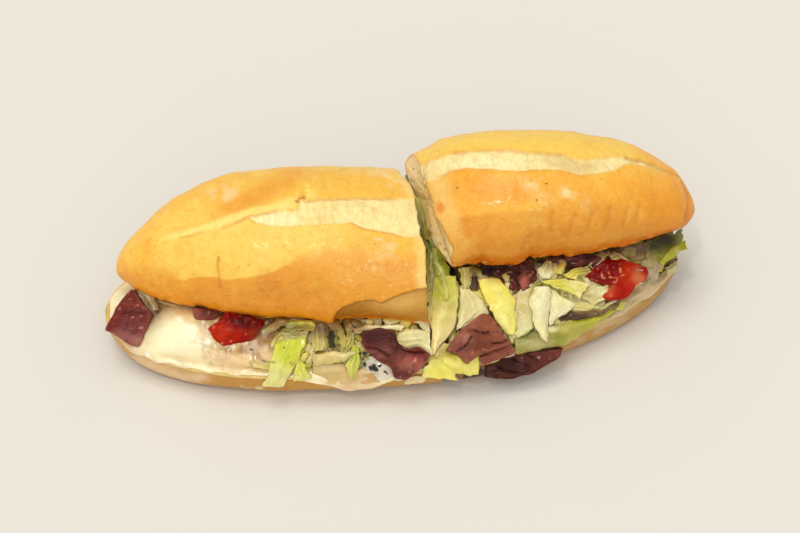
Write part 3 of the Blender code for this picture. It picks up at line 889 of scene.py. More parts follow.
@dataclass(frozen=True)
class LeftLid(Lid):
    """The left half's upper bread, dressed from the photograph's marks."""

    crease: Pixels = (
        (140, 252), (153, 243), (184, 238), (209, 232), (236, 221), (264, 213), (283, 210.5), (297, 209),
        (299, 202), (304, 201), (322, 199), (355, 197), (394, 198), (410, 199),
    )
    lower: Pixels = (
        (210, 232), (223, 228), (248, 218), (256, 222), (271, 226), (289, 226), (318, 224), (335, 223), (351, 222),
        (365, 228), (384, 232), (402, 236), (425, 237),
    )
    ridge: Pixels = ((150, 241), (175, 234), (195, 228), (215, 221), (240, 211), (265, 206), (293, 197))
    tone: Pixels = (
        (110, 268), (149, 267), (168, 273), (182, 281), (198, 277), (215, 276.5), (227, 280), (252, 277), (273, 272),
        (287, 265), (300, 256), (330, 250), (430, 262),
    )
    sunken: Pixels = (
        (320, 345), (334, 316), (343, 308), (355, 302), (374, 300.5), (382, 304), (396, 297), (417, 290), (430, 288),
    )
    flour: tuple = (
        (222, 190, 20, 6, -22, 0.5), (230, 196, 8, 4, -30, 0.8), (208, 190, 6, 4, 0, 0.6), (381, 245, 15, 11, 25, 0.9),
        (404, 189, 7, 6, 10, 0.6), (376, 268, 8, 4, 30, 0.4), (389, 175, 14, 9, 20, 0.9), (362, 172, 14, 5, 0, 0.4),
    )

    def relief(self, crust: Crust) -> tuple:
        """The slash, creases, ridge, sunken patch, crack, dents and blister.

        Args:
            crust: the lid's smooth surface.

        Returns:
            The height in mm, the wetness, and the marks that the colours use.
        """
        points, dome, sketch = crust.points, crust.dome, crust.sketch
        spot, near, span = sketch.spot, sketch.near, sketch.span
        shown = sketch.shown * dome
        slash = span(252, 440, 6) * sketch.band(self.crease, self.lower, 1.8) * shown
        broken = smooth(rough(points, 6, 2, 23), -0.5, 0.4)
        crease = near(self.crease[:8], 0.9) * span(160, 296, 10) * dome * broken * 0.7
        crease = np.maximum(crease, near(self.crease[9:], 1.1) * span(300, 396, 4) * dome * 0.7)
        ridge = sketch.band(self.ridge, self.crease, 3) * span(160, 296, 10) * shown
        lip = near(self.lower[8:12], 1.2) + 0.5 * near(self.lower[1:4], 1.2)
        sunken = sketch.below(self.sunken, 1) * span(334, 440, 1.5) * shown
        crack = near(((219, 257), (218, 270), (220, 288)), 1) + near(((219, 258), (217, 266)), 1.6)
        dents = near(((351, 180), (351, 189)), 2.4) + near(((326, 178), (327, 186)), 2)
        blister = spot(368, 264, 26, 18, 20, 0.6) * smooth(lumps(points, 2.2, 3), 0.1, 0.6)
        relief = (
            0.55 * rough(points, 26, 3, 1) + 0.14 * rough(points, 4, 3, 11) + 0.16 * rough(points, 9, 2, 13)
            - 0.8 * slash - 0.8 * crease + 0.7 * ridge - 0.4 * lip - 1.6 * sunken - 0.4 * crack - 0.5 * dents
            + 0.35 * blister + slash * 0.35 * rough(points, 3, 3, 5)
        )
        wet = 0.15 + 0.6 * spot(372, 266, 50, 22, 8) + 0.8 * blister - 0.2 * slash
        return relief, wet, (slash, crease, ridge, lip, sunken, crack)

    def colours(self, crust: Crust, *marks: Array) -> Array:
        """From gold over the top to deep orange at the rim.

        Args:
            crust: the lid's surface with its relief.
            marks: slash, crease, ridge, lip, sunken patch and crack.

        Returns:
            A colour for each vertex.
        """
        slash, crease, ridge, lip, sunken, crack = marks
        points, share, angle, dome, sketch = crust.points, crust.share, crust.angle, crust.dome, crust.sketch
        spot, near, span, below, shown = sketch.spot, sketch.near, sketch.span, sketch.below, sketch.shown
        crisp = span(176, 290, 10)
        low = (below(self.tone, 1.2) * crisp + below(self.tone, 9) * (1 - crisp)) * shown
        pale = (1 - low) * below(self.crease, 4) * span(158, 345, 26) * shown
        tint = layered(
            painted(angle.shape, (252, 196, 88)),
            ((254, 210, 108), smooth(rough(points, 16, 3, 41), 0.1, 0.8) * 0.8),
            ((238, 160, 58), spot(255, 196, 46, 9, -22, 0.7) * 0.7),
            ((253, 212, 118), pale * 0.85),
            ((255, 218, 122), spot(182, 224, 30, 12, -28, 0.8) * 0.6),
            ((244, 176, 62), spot(137, 258, 22, 16, 0, 0.8) * 0.4),
            ((236, 160, 56), low * 0.85),
            ((214, 138, 46), spot(276, 292, 62, 20, 4, 0.8) * 0.55 * smooth(rough(points, 8, 3, 49), -0.7, 0.6)),
            ((234, 150, 46), smooth(angle, 2.55, 2.95) * 0.5),
            ((244, 172, 62), spot(372, 266, 44, 26, 8, 0.7) * 0.5),
        )
        brown = near(self.outline.rim, 6 + 2 * rough(points, 5, 2, 43)) * span(150, 336, 30)
        crumbs = near(self.outline.rim, 1.8) * smooth(rough(points, 2.6, 3, 98), 0, 0.6)
        edge = (1 - smooth(share + 0.006 * rough(points, 4, 2, 44), 0.012, 0.035)) * smooth(angle, 0.9, 1.4)
        # Painted highlights: where pale specks are strewn over the glossy crust.
        painted_sparkle = spot(376, 266, 46, 28, 12, 0.8) + 0.15 * spot(250, 290, 90, 24, 0, 0.8)
        powder = smooth(rough(points, 3, 3, 71), -0.4, 0.6)
        return layered(
            browned(tint, points, 81),
            ((252, 162, 38), smooth(angle, 2.9, 3.12) * 0.7),
            ((255, 160, 14), brown * 0.8),
            ((255, 214, 136), crumbs * 0.75),
            ((255, 232, 156), ridge * 0.8),
            ((253, 216, 150), edge * 0.75 * dome),
            ((253, 236, 196), slash),
            ((252, 248, 226), slash * spot(272, 220, 26, 10) * 0.8),
            *self.torn(points, slash, (240, 205, 146), (236, 196, 130), (238, 206, 150)),
            # Painted shade in the crease, over its sunken relief.
            ((200, 126, 44), crease * 0.7),
            ((222, 128, 44), np.clip(lip, 0, 1) * 0.6),
            ((190, 130, 46), sunken * 0.92),
            ((226, 180, 112), sunken * spot(400, 303, 26, 10, -6, 0.8) * 0.8),
            ((168, 110, 40), sunken * spot(345, 314, 22, 8, -10, 0.8) * 0.6),
            ((150, 96, 34), near(self.sunken[1:], 1) * sunken * 0.7),
            ((232, 134, 20), smooth(angle, 3.02, 3.12) * dome * sunken * 0.8),
            ((206, 124, 40), np.clip(crack, 0, 1) * 0.55),
            # Painted highlights: pale specks.
            ((255, 240, 206), smooth(lumps(points, 1.3, 95), 0.62, 0.9) * painted_sparkle * 0.75),
            ((176, 104, 34), smooth(lumps(points, 1.5, 96), 0.6, 0.9) * spot(290, 296, 80, 18, 4, 0.8) * 0.45),
            *(((254, 218, 186), spot(*place, 0.7) * powder * strength) for *place, strength in self.flour),
            ((254, 236, 150), spot(302, 193, 14, 8, 0, 0.6) * smooth(rough(points, 3.5, 2, 75), -0.2, 0.5) * 0.8),
            *(((176, 92, 24), spot(x, y, 2.2, 1.6, 0, 0.6) * 0.8) for x, y in ((300, 199), (297, 202), (304, 198))),
            ((228, 196, 132), 1 - dome),
        )


@dataclass(frozen=True)
class RightLid(Lid):
    """The right half's upper bread, dressed from the photograph's marks."""

    upper: Pixels = (
        (405, 170), (421, 163), (433, 158), (452, 152), (477, 149.5), (508, 150), (535, 152), (564, 153.5), (573, 157),
        (585, 160), (600, 158), (612, 156.5), (625, 158), (641, 161), (656, 166), (672, 172), (690, 182),
    )
    lower: Pixels = (
        (405, 182), (429, 180.5), (438, 179), (444, 174), (454, 169), (465, 167.5), (487, 168.5), (516, 170),
        (546, 169), (562, 170), (570, 172), (581, 175), (593, 173), (604, 171.5), (616, 169), (624, 165), (632, 163.5),
        (650, 167), (668, 173), (690, 184),
    )
    tone: Pixels = ((430, 225), (456, 218), (487, 214), (510, 211), (535, 208), (548, 204), (570, 199), (700, 196))
    dents: tuple[Pixels, ...] = (
        ((553, 214), (551, 232)), ((576, 217), (567, 238)), ((594, 213), (588, 231)), ((612, 208), (607, 230)),
        ((628, 210), (624, 226)), ((527, 240), (523, 252)), ((640, 204), (637, 222)),
    )
    flour: tuple = (
        (565, 193, 5, 4, 0, 0.9), (568, 194, 10, 6, 20, 0.5), (531, 186, 10, 6, 20, 0.5), (545, 199, 12, 6, 10, 0.3),
        (587, 204, 7, 9, 0, 0.25), (611, 163, 12, 5, 0, 0.6),
    )
    grains: Pixels = ((458, 188), (536, 200), (547, 184), (443, 232))

    def relief(self, crust: Crust) -> tuple:
        """The slash, creases, dents, the tip's fold and the cut's worn edge.

        Args:
            crust: the lid's smooth surface.

        Returns:
            The height in mm, the wetness, and the marks that the colours use.
        """
        points, angle, dome, sketch = crust.points, crust.angle, crust.dome, crust.sketch
        spot, near = sketch.spot, sketch.near
        slash = sketch.band(self.upper, self.lower, 1.2) * sketch.span(380, 672, 6) * (sketch.shown * dome)
        crease = near(self.upper[3:9], 1.2) * 0.7 + near(self.upper[12:], 1)
        under = near(self.lower[2:12], 1.3)
        dents = sum(near(line, 2.6) for line in self.dents)
        fold = near(((683, 182), (689, 195), (689, 210), (684, 227)), 1.6)
        chamfer = (
            (1 - smooth(crust.share + 0.01 * rough(points, 8, 2, 45), 0.035, 0.075)) * dome * smooth(angle, 1.4, 1.7)
        )
        chamfer = chamfer * (1 - 0.8 * smooth(angle, 2.1, 2.7))
        relief = (
            0.5 * rough(points, 24, 3, 2) + 0.13 * rough(points, 4, 3, 12) + 0.2 * rough(points, 9, 2, 14)
            - 1.1 * slash - 0.8 * crease - 0.5 * under - 0.6 * dents - 0.7 * fold - 0.8 * chamfer
            + slash * 0.3 * rough(points, 3, 3, 6)
        )
        wet = 0.15 + 0.15 * spot(520, 190, 70, 16) + 0.5 * spot(612, 163, 12, 6)
        return relief, wet, (slash, crease, under, dents, fold, chamfer)

    def colours(self, crust: Crust, *marks: Array) -> Array:
        """From gold over the top to deep orange at the rim.

        Args:
            crust: the lid's surface with its relief.
            marks: slash, crease, lower lip, dents, fold and worn edge.

        Returns:
            A colour for each vertex.
        """
        slash, crease, under, dents, fold, chamfer = marks
        points, angle, dome, sketch = crust.points, crust.angle, crust.dome, crust.sketch
        spot, near, below, shown = sketch.spot, sketch.near, sketch.below, sketch.shown
        faint = smooth(sketch.x, 530, 575)
        low = (below(self.tone, 3.5) * (1 - faint) + below(self.tone, 16) * faint) * shown
        tint = layered(
            painted(angle.shape, (251, 182, 74)),
            ((254, 204, 100), smooth(rough(points, 16, 3, 42), 0.1, 0.8) * 0.6),
            ((226, 152, 50), low * (0.75 + 0.2 * rough(points, 10, 2, 46))),
            ((218, 144, 48), smooth(angle, 2.45, 2.85) * 0.7),
            ((242, 164, 58), spot(500, 190, 44, 12, 0, 0.8) * 0.8),
        )
        brown = near(self.outline.rim, 4.4 + 1.8 * rough(points, 6, 2, 47))
        crumbs = near(self.outline.rim, 1.8) * smooth(rough(points, 2.6, 3, 99), 0, 0.6)
        powder = smooth(rough(points, 2.6, 3, 72), -0.5, 0.5)
        return layered(
            browned(tint, points, 85),
            # Painted highlights: pale specks over the crust's front.
            ((255, 236, 200), smooth(lumps(points, 1.3, 97), 0.66, 0.9) * spot(540, 200, 110, 40, 0, 0.8) * 0.45),
            ((214, 128, 30), smooth(angle, 2.85, 3.08) * 0.8),
            ((232, 118, 0), brown * 0.88),
            ((255, 206, 120), crumbs * 0.75),
            ((244, 156, 40), spot(672, 206, 26, 26, 0, 0.8) * 0.6),
            ((254, 220, 120), (1 - below(self.upper, 4)) * shown * sketch.span(400, 640, 20) * 0.7),
            ((253, 236, 200), slash),
            # Painted shade: a greyer part of the slash.
            ((232, 204, 160), slash * spot(572, 163, 26, 9, 12) * 0.8),
            ((254, 248, 226), slash * spot(480, 161, 34, 6) * 0.6),
            *self.torn(points, slash, (232, 196, 146), (236, 200, 142), (230, 200, 150)),
            # Painted shade in the crease, dents and fold below, over their sunken relief.
            ((196, 140, 70), crease * 0.5),
            ((240, 156, 48), under * 0.6),
            ((212, 136, 50), np.clip(dents, 0, 1) * 0.35),
            ((200, 118, 40), fold * 0.6),
            ((253, 208, 140), chamfer * 0.8),
            ((236, 140, 56), spot(440, 208, 4, 6, 0, 0.6) * 0.8),
            *(((254, 226, 186), spot(*place, 0.7) * powder * strength) for *place, strength in self.flour),
            *(((60, 36, 16), spot(x, y, 0.9, 0.9, 0, 0.5)) for x, y in self.grains),
            ((214, 176, 116), 1 - dome),
        )


@dataclass(frozen=True)
class Heel:
    """A lower piece of bread: a flat base, bellied sides and a slightly hollow upper face."""

    side: str
    loaf: Loaf
    pale: Shade
    crust: Shade
    seed: int
    profile: tuple = ((0.96, 16), (0.99, 13.6), (1, 11), (0.985, 6.5), (0.93, 2.6), (0.83, 0), (0.42, 0))
    floor: tuple = ((0.62, 14.8), (0.3, 14))

    def point(self, share: Array, across: Array, z: Array) -> Array:
        """A point by its share of the half width and its height, which closes up to the rim at the tip."""
        depth = taper(np.clip((share - 0.74) / 0.26, 0, 1), 2.2, 2)
        return self.loaf.place(
            share, self.loaf.middle(share) + self.loaf.half(share) * across, 16 - (16 - z) * depth,
        )

    def build(self) -> None:
        """Rings of the profile through its corners, browned below, with a white cut rim above."""
        front = [(-a, z) for a, z in self.profile]
        back = [(a, z) for a, z in reversed(self.profile)]
        inside = [(a, z) for a, z in self.floor] + [(0, 14)] + [(-a, z) for a, z in reversed(self.floor)]
        corners = np.array(front + back + inside)
        ring = weights(len(corners), 260) @ corners
        ring[:, 1] = np.maximum(ring[:, 1], 0)
        share = tip_rows(200)
        points = self.point(share, ring[None, :, 0], ring[None, :, 1])
        normal = outward(points, 60, 90, (0, 0, -1))
        high = np.broadcast_to(ring[None, :, 1], points.shape[:2])
        wide = np.broadcast_to(np.abs(ring[None, :, 0]), points.shape[:2])
        lying = smooth(high, 0.2, 1.6)
        relief = (0.3 * rough(points, 16, 3, self.seed) + 0.1 * rough(points, 3.5, 2, self.seed + 3)) * lying
        points = points + normal * relief[..., None]
        sketch = Sketch(points, normal)
        tint = layered(
            painted(points.shape[:2], self.crust),
            (self.pale, smooth(rough(points, 12, 3, self.seed + 5), -0.2, 0.7) * 0.6),
            ((150, 98, 44), (1 - smooth(high, 0.5, 5)) * 0.6),
            ((240, 214, 168), smooth(high, 14.2, 15.4) * smooth(wide, 0.5, 0.9) * 0.8),
            ((236, 206, 150), smooth(high, 13.4, 14.2) * (1 - smooth(wide, 0.8, 0.9))),
        )
        if self.side == "left":
            film = sketch.near(((138, 360), (158, 371), (178, 378), (199, 379)), 9 + 2 * rough(points, 6, 2, 7))
            residue = sketch.near(((196, 388), (222, 390), (240, 386), (262, 389)), 1.8)
            residue = residue * smooth(rough(points, 4, 2, 9), -0.2, 0.5)
            tint = layered(
                tint,
                ((236, 204, 190), film * 0.95 * smooth(rough(points, 7, 3, 8), -1.6, -0.3)),
                ((248, 232, 214), residue * 0.8),
            )
        else:
            film = sketch.spot(630, 305, 34, 12, -42, 0.6) + sketch.spot(590, 335, 26, 6, -30, 0.6)
            tint = layered(
                tint,
                ((206, 182, 160), film * 0.6 * smooth(rough(points, 7, 3, 10), -0.4, 0.6)),
                # Painted shadow: near black where a gap under the fillings lies in shade.
                ((30, 20, 12), sketch.spot(470, 373, 18, 9, 0, 0.4) * 0.97),
            )
        skin = Skin()
        skin.tube(*with_cut(points, tint, 0.3 * sketch.shown, (226, 196, 142), (176, 138, 84), self.seed + 7))
        skin.piece(f"heel_{self.side}_bread", CRUST, f"heel_{self.side}")


LEFT_HEEL = Heel("left", Loaf(6, -6, -143.5, -5, 51, 2.9, 1.9, 0, 0.17), (214, 168, 104), (200, 148, 78), 51)
RIGHT_HEEL = Heel("right", Loaf(16, -6, 139, 2, 50, 1.9, 1.5, 0, 0.17), (204, 158, 98), (192, 140, 74), 52)
LEFT_LID = LeftLid(
    "left", LidShape(Loaf(3, 2, -136, 8, 43, 2.5, 1.7, 5, 0.1), 33, 44.5, 0.19, 0.3),
    Outline(
        rim=(
            (117, 266), (124, 280), (133, 288), (147, 295), (161, 300), (178, 304), (194, 307), (204, 308.5),
            (217, 311), (227, 314.5), (246, 316), (266, 317.5), (282, 317), (297, 318.5), (316, 321), (330, 324.5),
            (335, 322), (352, 320), (380, 320), (396, 323), (410, 325.5), (428, 324),
        ),
        back=(
            (117, 262), (122, 252), (128, 242), (140, 227), (155, 212), (175, 197), (200, 184), (222, 175),
            (236, 171.5), (262, 169.5), (290, 167), (318, 165.5), (345, 167), (365, 167.5), (385, 169), (400, 173),
        ),
        cut=(
            (397, 169), (401, 176), (410, 185), (414, 195), (416, 207), (418, 222), (420, 234), (425, 246), (426, 265),
            (426, 284), (427, 300), (428, 319), (429, 330),
        ),
        under=((400, 169), (418, 222), (424, 246), (426, 284), (428, 319), (429, 330)),
    ),
    crumb=(252, 234, 204), hole=(214, 180, 134), ragged=(1.1, 4.2, 21), seed=61,
)
RIGHT_LID = RightLid(
    "right", LidShape(Loaf(18, 21, 146.5, 12, 39, 2.9, 1.9, 0, 0.20), 42, 42, 0.5, 0.12),
    Outline(
        rim=(
            (440, 255), (450, 262), (456, 267.5), (463, 267), (471, 265), (477, 263), (481, 261), (485, 264),
            (490, 266), (500, 266), (508, 265.5), (517, 263), (525, 260), (530, 257), (534, 259), (538, 256),
            (545, 256.5), (556, 255), (562, 254), (566, 256), (580, 255.5), (593, 254), (603, 250), (610, 248),
            (622, 247), (631, 245), (645, 241), (656, 237), (668, 234), (677, 230.5), (684, 227), (689, 223),
            (694, 214),
        ),
        back=(
            (409, 168), (411, 163), (419, 153), (429, 146), (440, 138.5), (462, 134), (496, 130.5), (535, 129.5),
            (573, 130.5), (612, 138), (632, 145), (650, 153.5), (666, 163), (679, 172), (689, 185), (695, 199),
        ),
        cut=(
            (413, 152), (420, 165), (424, 179), (431, 198), (434, 212), (441, 224), (449, 240), (457, 251), (457, 258),
            (456, 268),
        ),
        under=(
            (405, 165), (406, 175), (411, 184), (420, 198), (423, 212), (428, 230), (433, 243), (439, 253), (451, 264),
            (456, 269),
        ),
    ),
    crumb=(255, 232, 206), hole=(206, 168, 132), ragged=(1.5, 5, 22), seed=62,
)


# ---------------------------------------------------------------------------------------------------------------
# what carries the fillings


@dataclass(frozen=True)
class Slope:
    """The fillings' front: from the lower bread's rim up to the lid's front edge, and their level tops."""

    rim: tuple[float, float] = (17.5, 18)
    brow: tuple[float, float] = (31, 39.5)

    def height(self, x: Array, y: Array) -> Array:
        """z over a place: a straight climb from rim to brow, level behind, falling steeply before the rim."""
        share = smooth(x, 2, 16)
        foot = (
            (1 - share) * np.interp(x, *LEFT_HEEL.loaf.edge(-1)) + share * np.interp(x, *RIGHT_HEEL.loaf.edge(-1))
        )
        top = (
            (1 - share) * np.interp(x, *LEFT_LID.shape.loaf.edge(-1))
            + share * np.interp(x, *RIGHT_LID.shape.loaf.edge(-1))
        )
        foot, top = foot + 2, np.maximum(top + 3, foot + 9)
        low = self.rim[0] * (1 - share) + self.rim[1] * share
        high = self.brow[0] * (1 - share) + self.brow[1] * share
        climb = np.clip((y - foot) / (top - foot), 0, 1)
        return low + (high - low) * climb + np.minimum(y - foot, 0) * 1.6

    def meet(self, pixels: Array, lift: Array | float = 0) -> Array:
        """Where each pixel's ray meets the slope raised by the lift, by halving steps in height.

        Args:
            pixels: places in the picture.
            lift: mm above the slope.

        Returns:
            Points in the drawing's mm.
        """
        eye, rays = LENS.rays(np.asarray(pixels, dtype=float))
        low, high = np.full(rays.shape[:-1], -20), np.full(rays.shape[:-1], 90)
        for _ in range(26):
            z = 0.5 * (low + high)
            at = eye + rays * ((z - eye[2]) / rays[..., 2])[..., None]
            over = z > self.height(at[..., 0], at[..., 1]) + lift
            high, low = np.where(over, z, high), np.where(over, low, z)
        return eye + rays * ((0.5 * (low + high) - eye[2]) / rays[..., 2])[..., None]


SLOPE = Slope()


def painted_lid_shade(tint: Array, sketch: Sketch, strength: float = 0.95) -> Array:
    """Painted shade on the fillings close below the lids' front edges, dark in patches.

    Args:
        tint: their colours.
        sketch: the photograph's marks on them.
        strength: how dark at most.

    Returns:
        The new colours.
    """
    patches = smooth(rough(sketch.points, 5, 2, 103), -1.5, -0.1)
    for rim, left, right in ((LEFT_LID.outline.rim, 196, 366), (RIGHT_LID.outline.rim, 466, 676)):
        close = (1 - sketch.below([(x, y + 14) for x, y in rim], 9)) * sketch.span(left, right, 6)
        tint = mixed(tint, tint * np.array([0.3, 0.17, 0.07]), close * patches * sketch.shown * strength)
    return tint


@dataclass(frozen=True)
class Leaf:
    """A cut piece of lettuce that shows, spanned between two edges drawn on the photograph."""

    left: Pixels
    right: Pixels
    body: Shade
    tip: Shade
    lift: float | tuple[float, float] = 2
    bulge: float = 1.2
    ruffle: float = 0.7
    ribs: float = 2.5
    rib: Shade = (250, 248, 215)
    rib_strength: float = 0.24
    wet: float = 0.5
    seed: int = 1
    thickness: float = 0.7
    level: float | None = None
    marks: tuple = ()
    # Painted highlights: how strongly pale specks are mixed into the colour.
    painted_glints: float = 0.5

    def add(self, skin: Skin) -> None:
        """Rules straight lines from edge to edge, lays them on the slope and raises the middle and ribs."""
        rows, columns = 46, 22
        left, right = rounded_line(self.left, rows), rounded_line(self.right, rows)
        s, t = np.linspace(0, 1, rows)[:, None], np.linspace(0, 1, columns)[None, :]
        wide = np.linalg.norm(right - left, axis=1).mean()
        sides = (np.stack([12 * s, 0 * s + k, 0 * s], -1) for k in (0, 9))
        worn = [min(0.10, 1.3 / wide) * rough(side, 3, 3, self.seed) for side in sides]
        t_worn = t * (1 + worn[1]) + worn[0] * (1 - t)
        pixels = left[:, None] * (1 - t_worn[..., None]) + right[:, None] * t_worn[..., None]
        flat = np.concatenate([pixels, 0 * pixels[..., :1]], axis=-1)
        pixels = pixels + 1.1 * np.stack([rough(flat, 8, 2, self.seed + 60), rough(flat, 8, 2, self.seed + 61)], -1)
        first, last = np.broadcast_to(self.lift, 2)
        lift = first * (1 - s) + last * s + 0 * t
        eye, rays = LENS.rays(pixels)
        if self.level is None:
            grid = SLOPE.meet(pixels, lift)
        else:
            grid = eye + rays * ((self.level + lift - eye[2]) / rays[..., 2])[..., None]
        normal = normals(grid)
        if ((eye - grid) * normal).sum(-1).mean() < 0:
            grid, normal = grid[:, ::-1], -normal[:, ::-1]
        wave = np.sin(2 * math.pi * self.ribs * t + 2 * lumps(grid, 14, self.seed) + self.seed)
        relief = self.bulge * (1 - (2 * t - 1) ** 2) + 0.35 * self.ruffle * wave
        relief = (
            relief + self.ruffle * lumps(grid, 7, self.seed + 3)
            + 0.35 * self.ruffle * lumps(grid, 3, self.seed + 4)
        )
        grid = grid + normal * relief[..., None]
        tint = layered(
            painted(relief.shape, self.body),
            (self.tip, smooth(s + 0.2 * lumps(grid, 8, self.seed + 5), 0.25, 0.85)),
            (self.rib, smooth(wave + 0.5 * lumps(grid, 3, self.seed + 6), 0.35, 1.1) * self.rib_strength),
        )
        tint = tint * (1 + 0.10 * lumps(grid, 2.5, self.seed + 8))[..., None]
        # Painted shade: darker patches at random, standing for shade in the leaf's hollows.
        hollow = smooth(rough(grid, 5, 3, self.seed + 9), 0, 1)
        tint = mixed(tint, tint * np.array([0.78, 0.80, 0.50]), hollow * 0.6)
        sketch = Sketch(grid, normal)
        # Painted shade close below the lids' front edges.
        tint = painted_lid_shade(dabbed(tint, sketch, self.marks), sketch)
        # Painted highlights: pale specks mixed into the leaf's colour.
        painted_sparkle = (
            smooth(lumps(grid, 1.3, self.seed + 11), 0.5, 0.85) * smooth(rough(grid, 7, 2, self.seed + 12), 0.1, 0.7)
        )
        tint = mixed(tint, seen(255, 255, 240), painted_sparkle * self.painted_glints)
        # Painted light: the rims a little lighter.
        inside = np.minimum(np.minimum(t, 1 - t) * columns, np.minimum(s, 1 - s) * rows)
        edge = np.exp(-((inside / 1.4) ** 2))
        tint = mixed(tint, np.sqrt(np.clip(tint, 0, 1)), edge * 0.15)
        wet = np.clip(self.wet + 0.5 * lumps(grid, 4, self.seed + 7), 0, 1)
        skin.pillow(grid, self.thickness, tint, wet)


@dataclass(frozen=True)
class Pour(Leaf):
    """Sauce that has run over the fillings: laid like a leaf, but thicker, shinier and without ribs."""

    ribs: float = 0.3
    rib_strength: float = 0
    wet: float = 0.8
    thickness: float = 1.2
    painted_glints: float = 0


FACE_REACH = np.sqrt(np.linspace(0.0006, 1, 26))  # a slab's rings, from its face's middle to its edge


@dataclass(frozen=True)
class Slab:
    """A thick cut piece, such as beef or tomato, whose upper face is drawn on the photograph."""

    outline: Pixels
    body: Shade
    streak: Shade
    lift: float = 6
    thick: float = 7
    tilt: float = 42
    roll: float = 0
    crown: float = 1
    roughness: float = 0.5
    grain: tuple[float, float] = (0.6, 4)
    turn: float = 20
    streaks: float = 0.5
    wet: float = 0.4
    side: Shade | None = None
    marks: tuple = ()
    cuts: tuple[Pixels, ...] = ()
    # Painted highlights: how strongly pale pink specks are mixed into the colour.
    painted_glints: float = 0
    seed: int = 1

    def plane(self) -> tuple[Array, Array]:
        """The upper face's middle on the slope, and its outward direction."""
        middle = np.asarray(self.outline, dtype=float).mean(0)
        at = SLOPE.meet(middle[None], self.lift)[0]
        tilt, roll = math.radians(self.tilt), math.radians(self.roll)
        out = np.array([math.sin(roll), -math.sin(tilt) * math.cos(roll), math.cos(tilt) * math.cos(roll)])
        return at, out

    def onto(self, pixels: Array) -> Array:
        """Where pixels' rays meet the upper face's plane."""
        at, out = self.plane()
        eye, rays = LENS.rays(pixels)
        return eye + rays * (((at - eye) @ out) / (rays @ out))[..., None]

    def grid(self) -> tuple[Array, Array]:
        """Rings: out over the upper face, round its edge, down the wall and in under the piece.

        Returns:
            The points, and how far each ring is towards the lower side, 0 to 1.
        """
        closed = list(self.outline) + [self.outline[0]]
        rim = resampled(closed, 121)[:-1]
        rim = sum(np.roll(rim, k, 0) for k in (-1, 0, 1)) / 3
        middle = rim.mean(0)
        at, out = self.plane()
        share = np.r_[FACE_REACH * 0.97, 0.99, np.full(8, 1), np.linspace(0.97, 0.05, 8)]
        down = np.r_[np.zeros(len(FACE_REACH)), 0.04, np.linspace(0.1, 0.95, 8), np.full(8, 1)]
        pixels = middle + (rim - middle)[None] * share[:, None, None]
        grid = self.onto(pixels)
        crown = self.crown * np.where(down < 0.05, 1 - share**2, 0)
        grid = grid + out * (crown - self.thick * down)[:, None, None]
        return grid, np.broadcast_to(down[:, None], grid.shape[:2])

    def add(self, skin: Skin) -> None:
        """Roughens the rings along their normals and colours them in streaks that follow the cut's grain."""
        grid, down = self.grid()
        reach = np.pad(FACE_REACH, (0, len(grid) - len(FACE_REACH)), constant_values=1)[:, None]
        normal = outward(grid, 10, 0, self.plane()[1])
        c, s = math.cos(math.radians(self.turn)), math.sin(math.radians(self.turn))
        turned = np.stack([grid[..., 0] * c + grid[..., 1] * s, grid[..., 1] * c - grid[..., 0] * s, grid[..., 2]], -1)
        across, along = self.grain
        fibre = lumps(turned, (along, across * 2, across * 2), self.seed)
        fibre = fibre + 0.6 * lumps(turned, (along * 2, across * 4, across * 4), self.seed + 1)
        sketch = Sketch(grid, normal)
        cut = sum((sketch.near(line, 1) for line in self.cuts), 0 * down)
        relief = self.roughness * (rough(grid, 7, 3, self.seed + 2) + 0.35 * fibre) - 0.8 * cut
        grid = grid + normal * relief[..., None]
        tint = layered(painted(down.shape, self.body), (self.streak, smooth(fibre, 0, 1.1) * self.streaks))
        if self.side:
            edge = smooth(reach + 0 * down, 0.9, 1) * 0.5 * (down < 0.05)
            tint = layered(tint, (self.side, smooth(down, 0.02, 0.1) * 0.9), (self.side, edge))
        # Painted shade in the cuts, over their sunken relief.
        tint = mixed(dabbed(tint, sketch, self.marks), seen(52, 20, 16), np.clip(cut, 0, 1) * 0.85)
        # Painted shade close below the lids' front edges.
        tint = painted_lid_shade(tint, sketch, 0.6)
        # Painted highlights: pale pink specks mixed into the cut face's colour.
        if self.painted_glints:
            painted_sparkle = (
                smooth(lumps(grid, 1.5, self.seed + 7), 0.5, 0.8)
                * smooth(rough(grid, 6, 2, self.seed + 8), -0.2, 0.5)
            )
            tint = mixed(tint, seen(255, 214, 204), painted_sparkle * self.painted_glints * sketch.shown)
        # Painted shade: the wall and underside are darker, with a random change of tone.
        light = (0.9 + 0.22 * rough(grid, 5, 2, self.seed + 4)) * (1 - 0.3 * smooth(down, 0.1, 0.7))
        tint = tint * light[..., None]
        wet = np.clip(self.wet + 0.5 * lumps(grid, 4, self.seed + 6), 0, 1)
        skin.tube(grid, tint, wet)


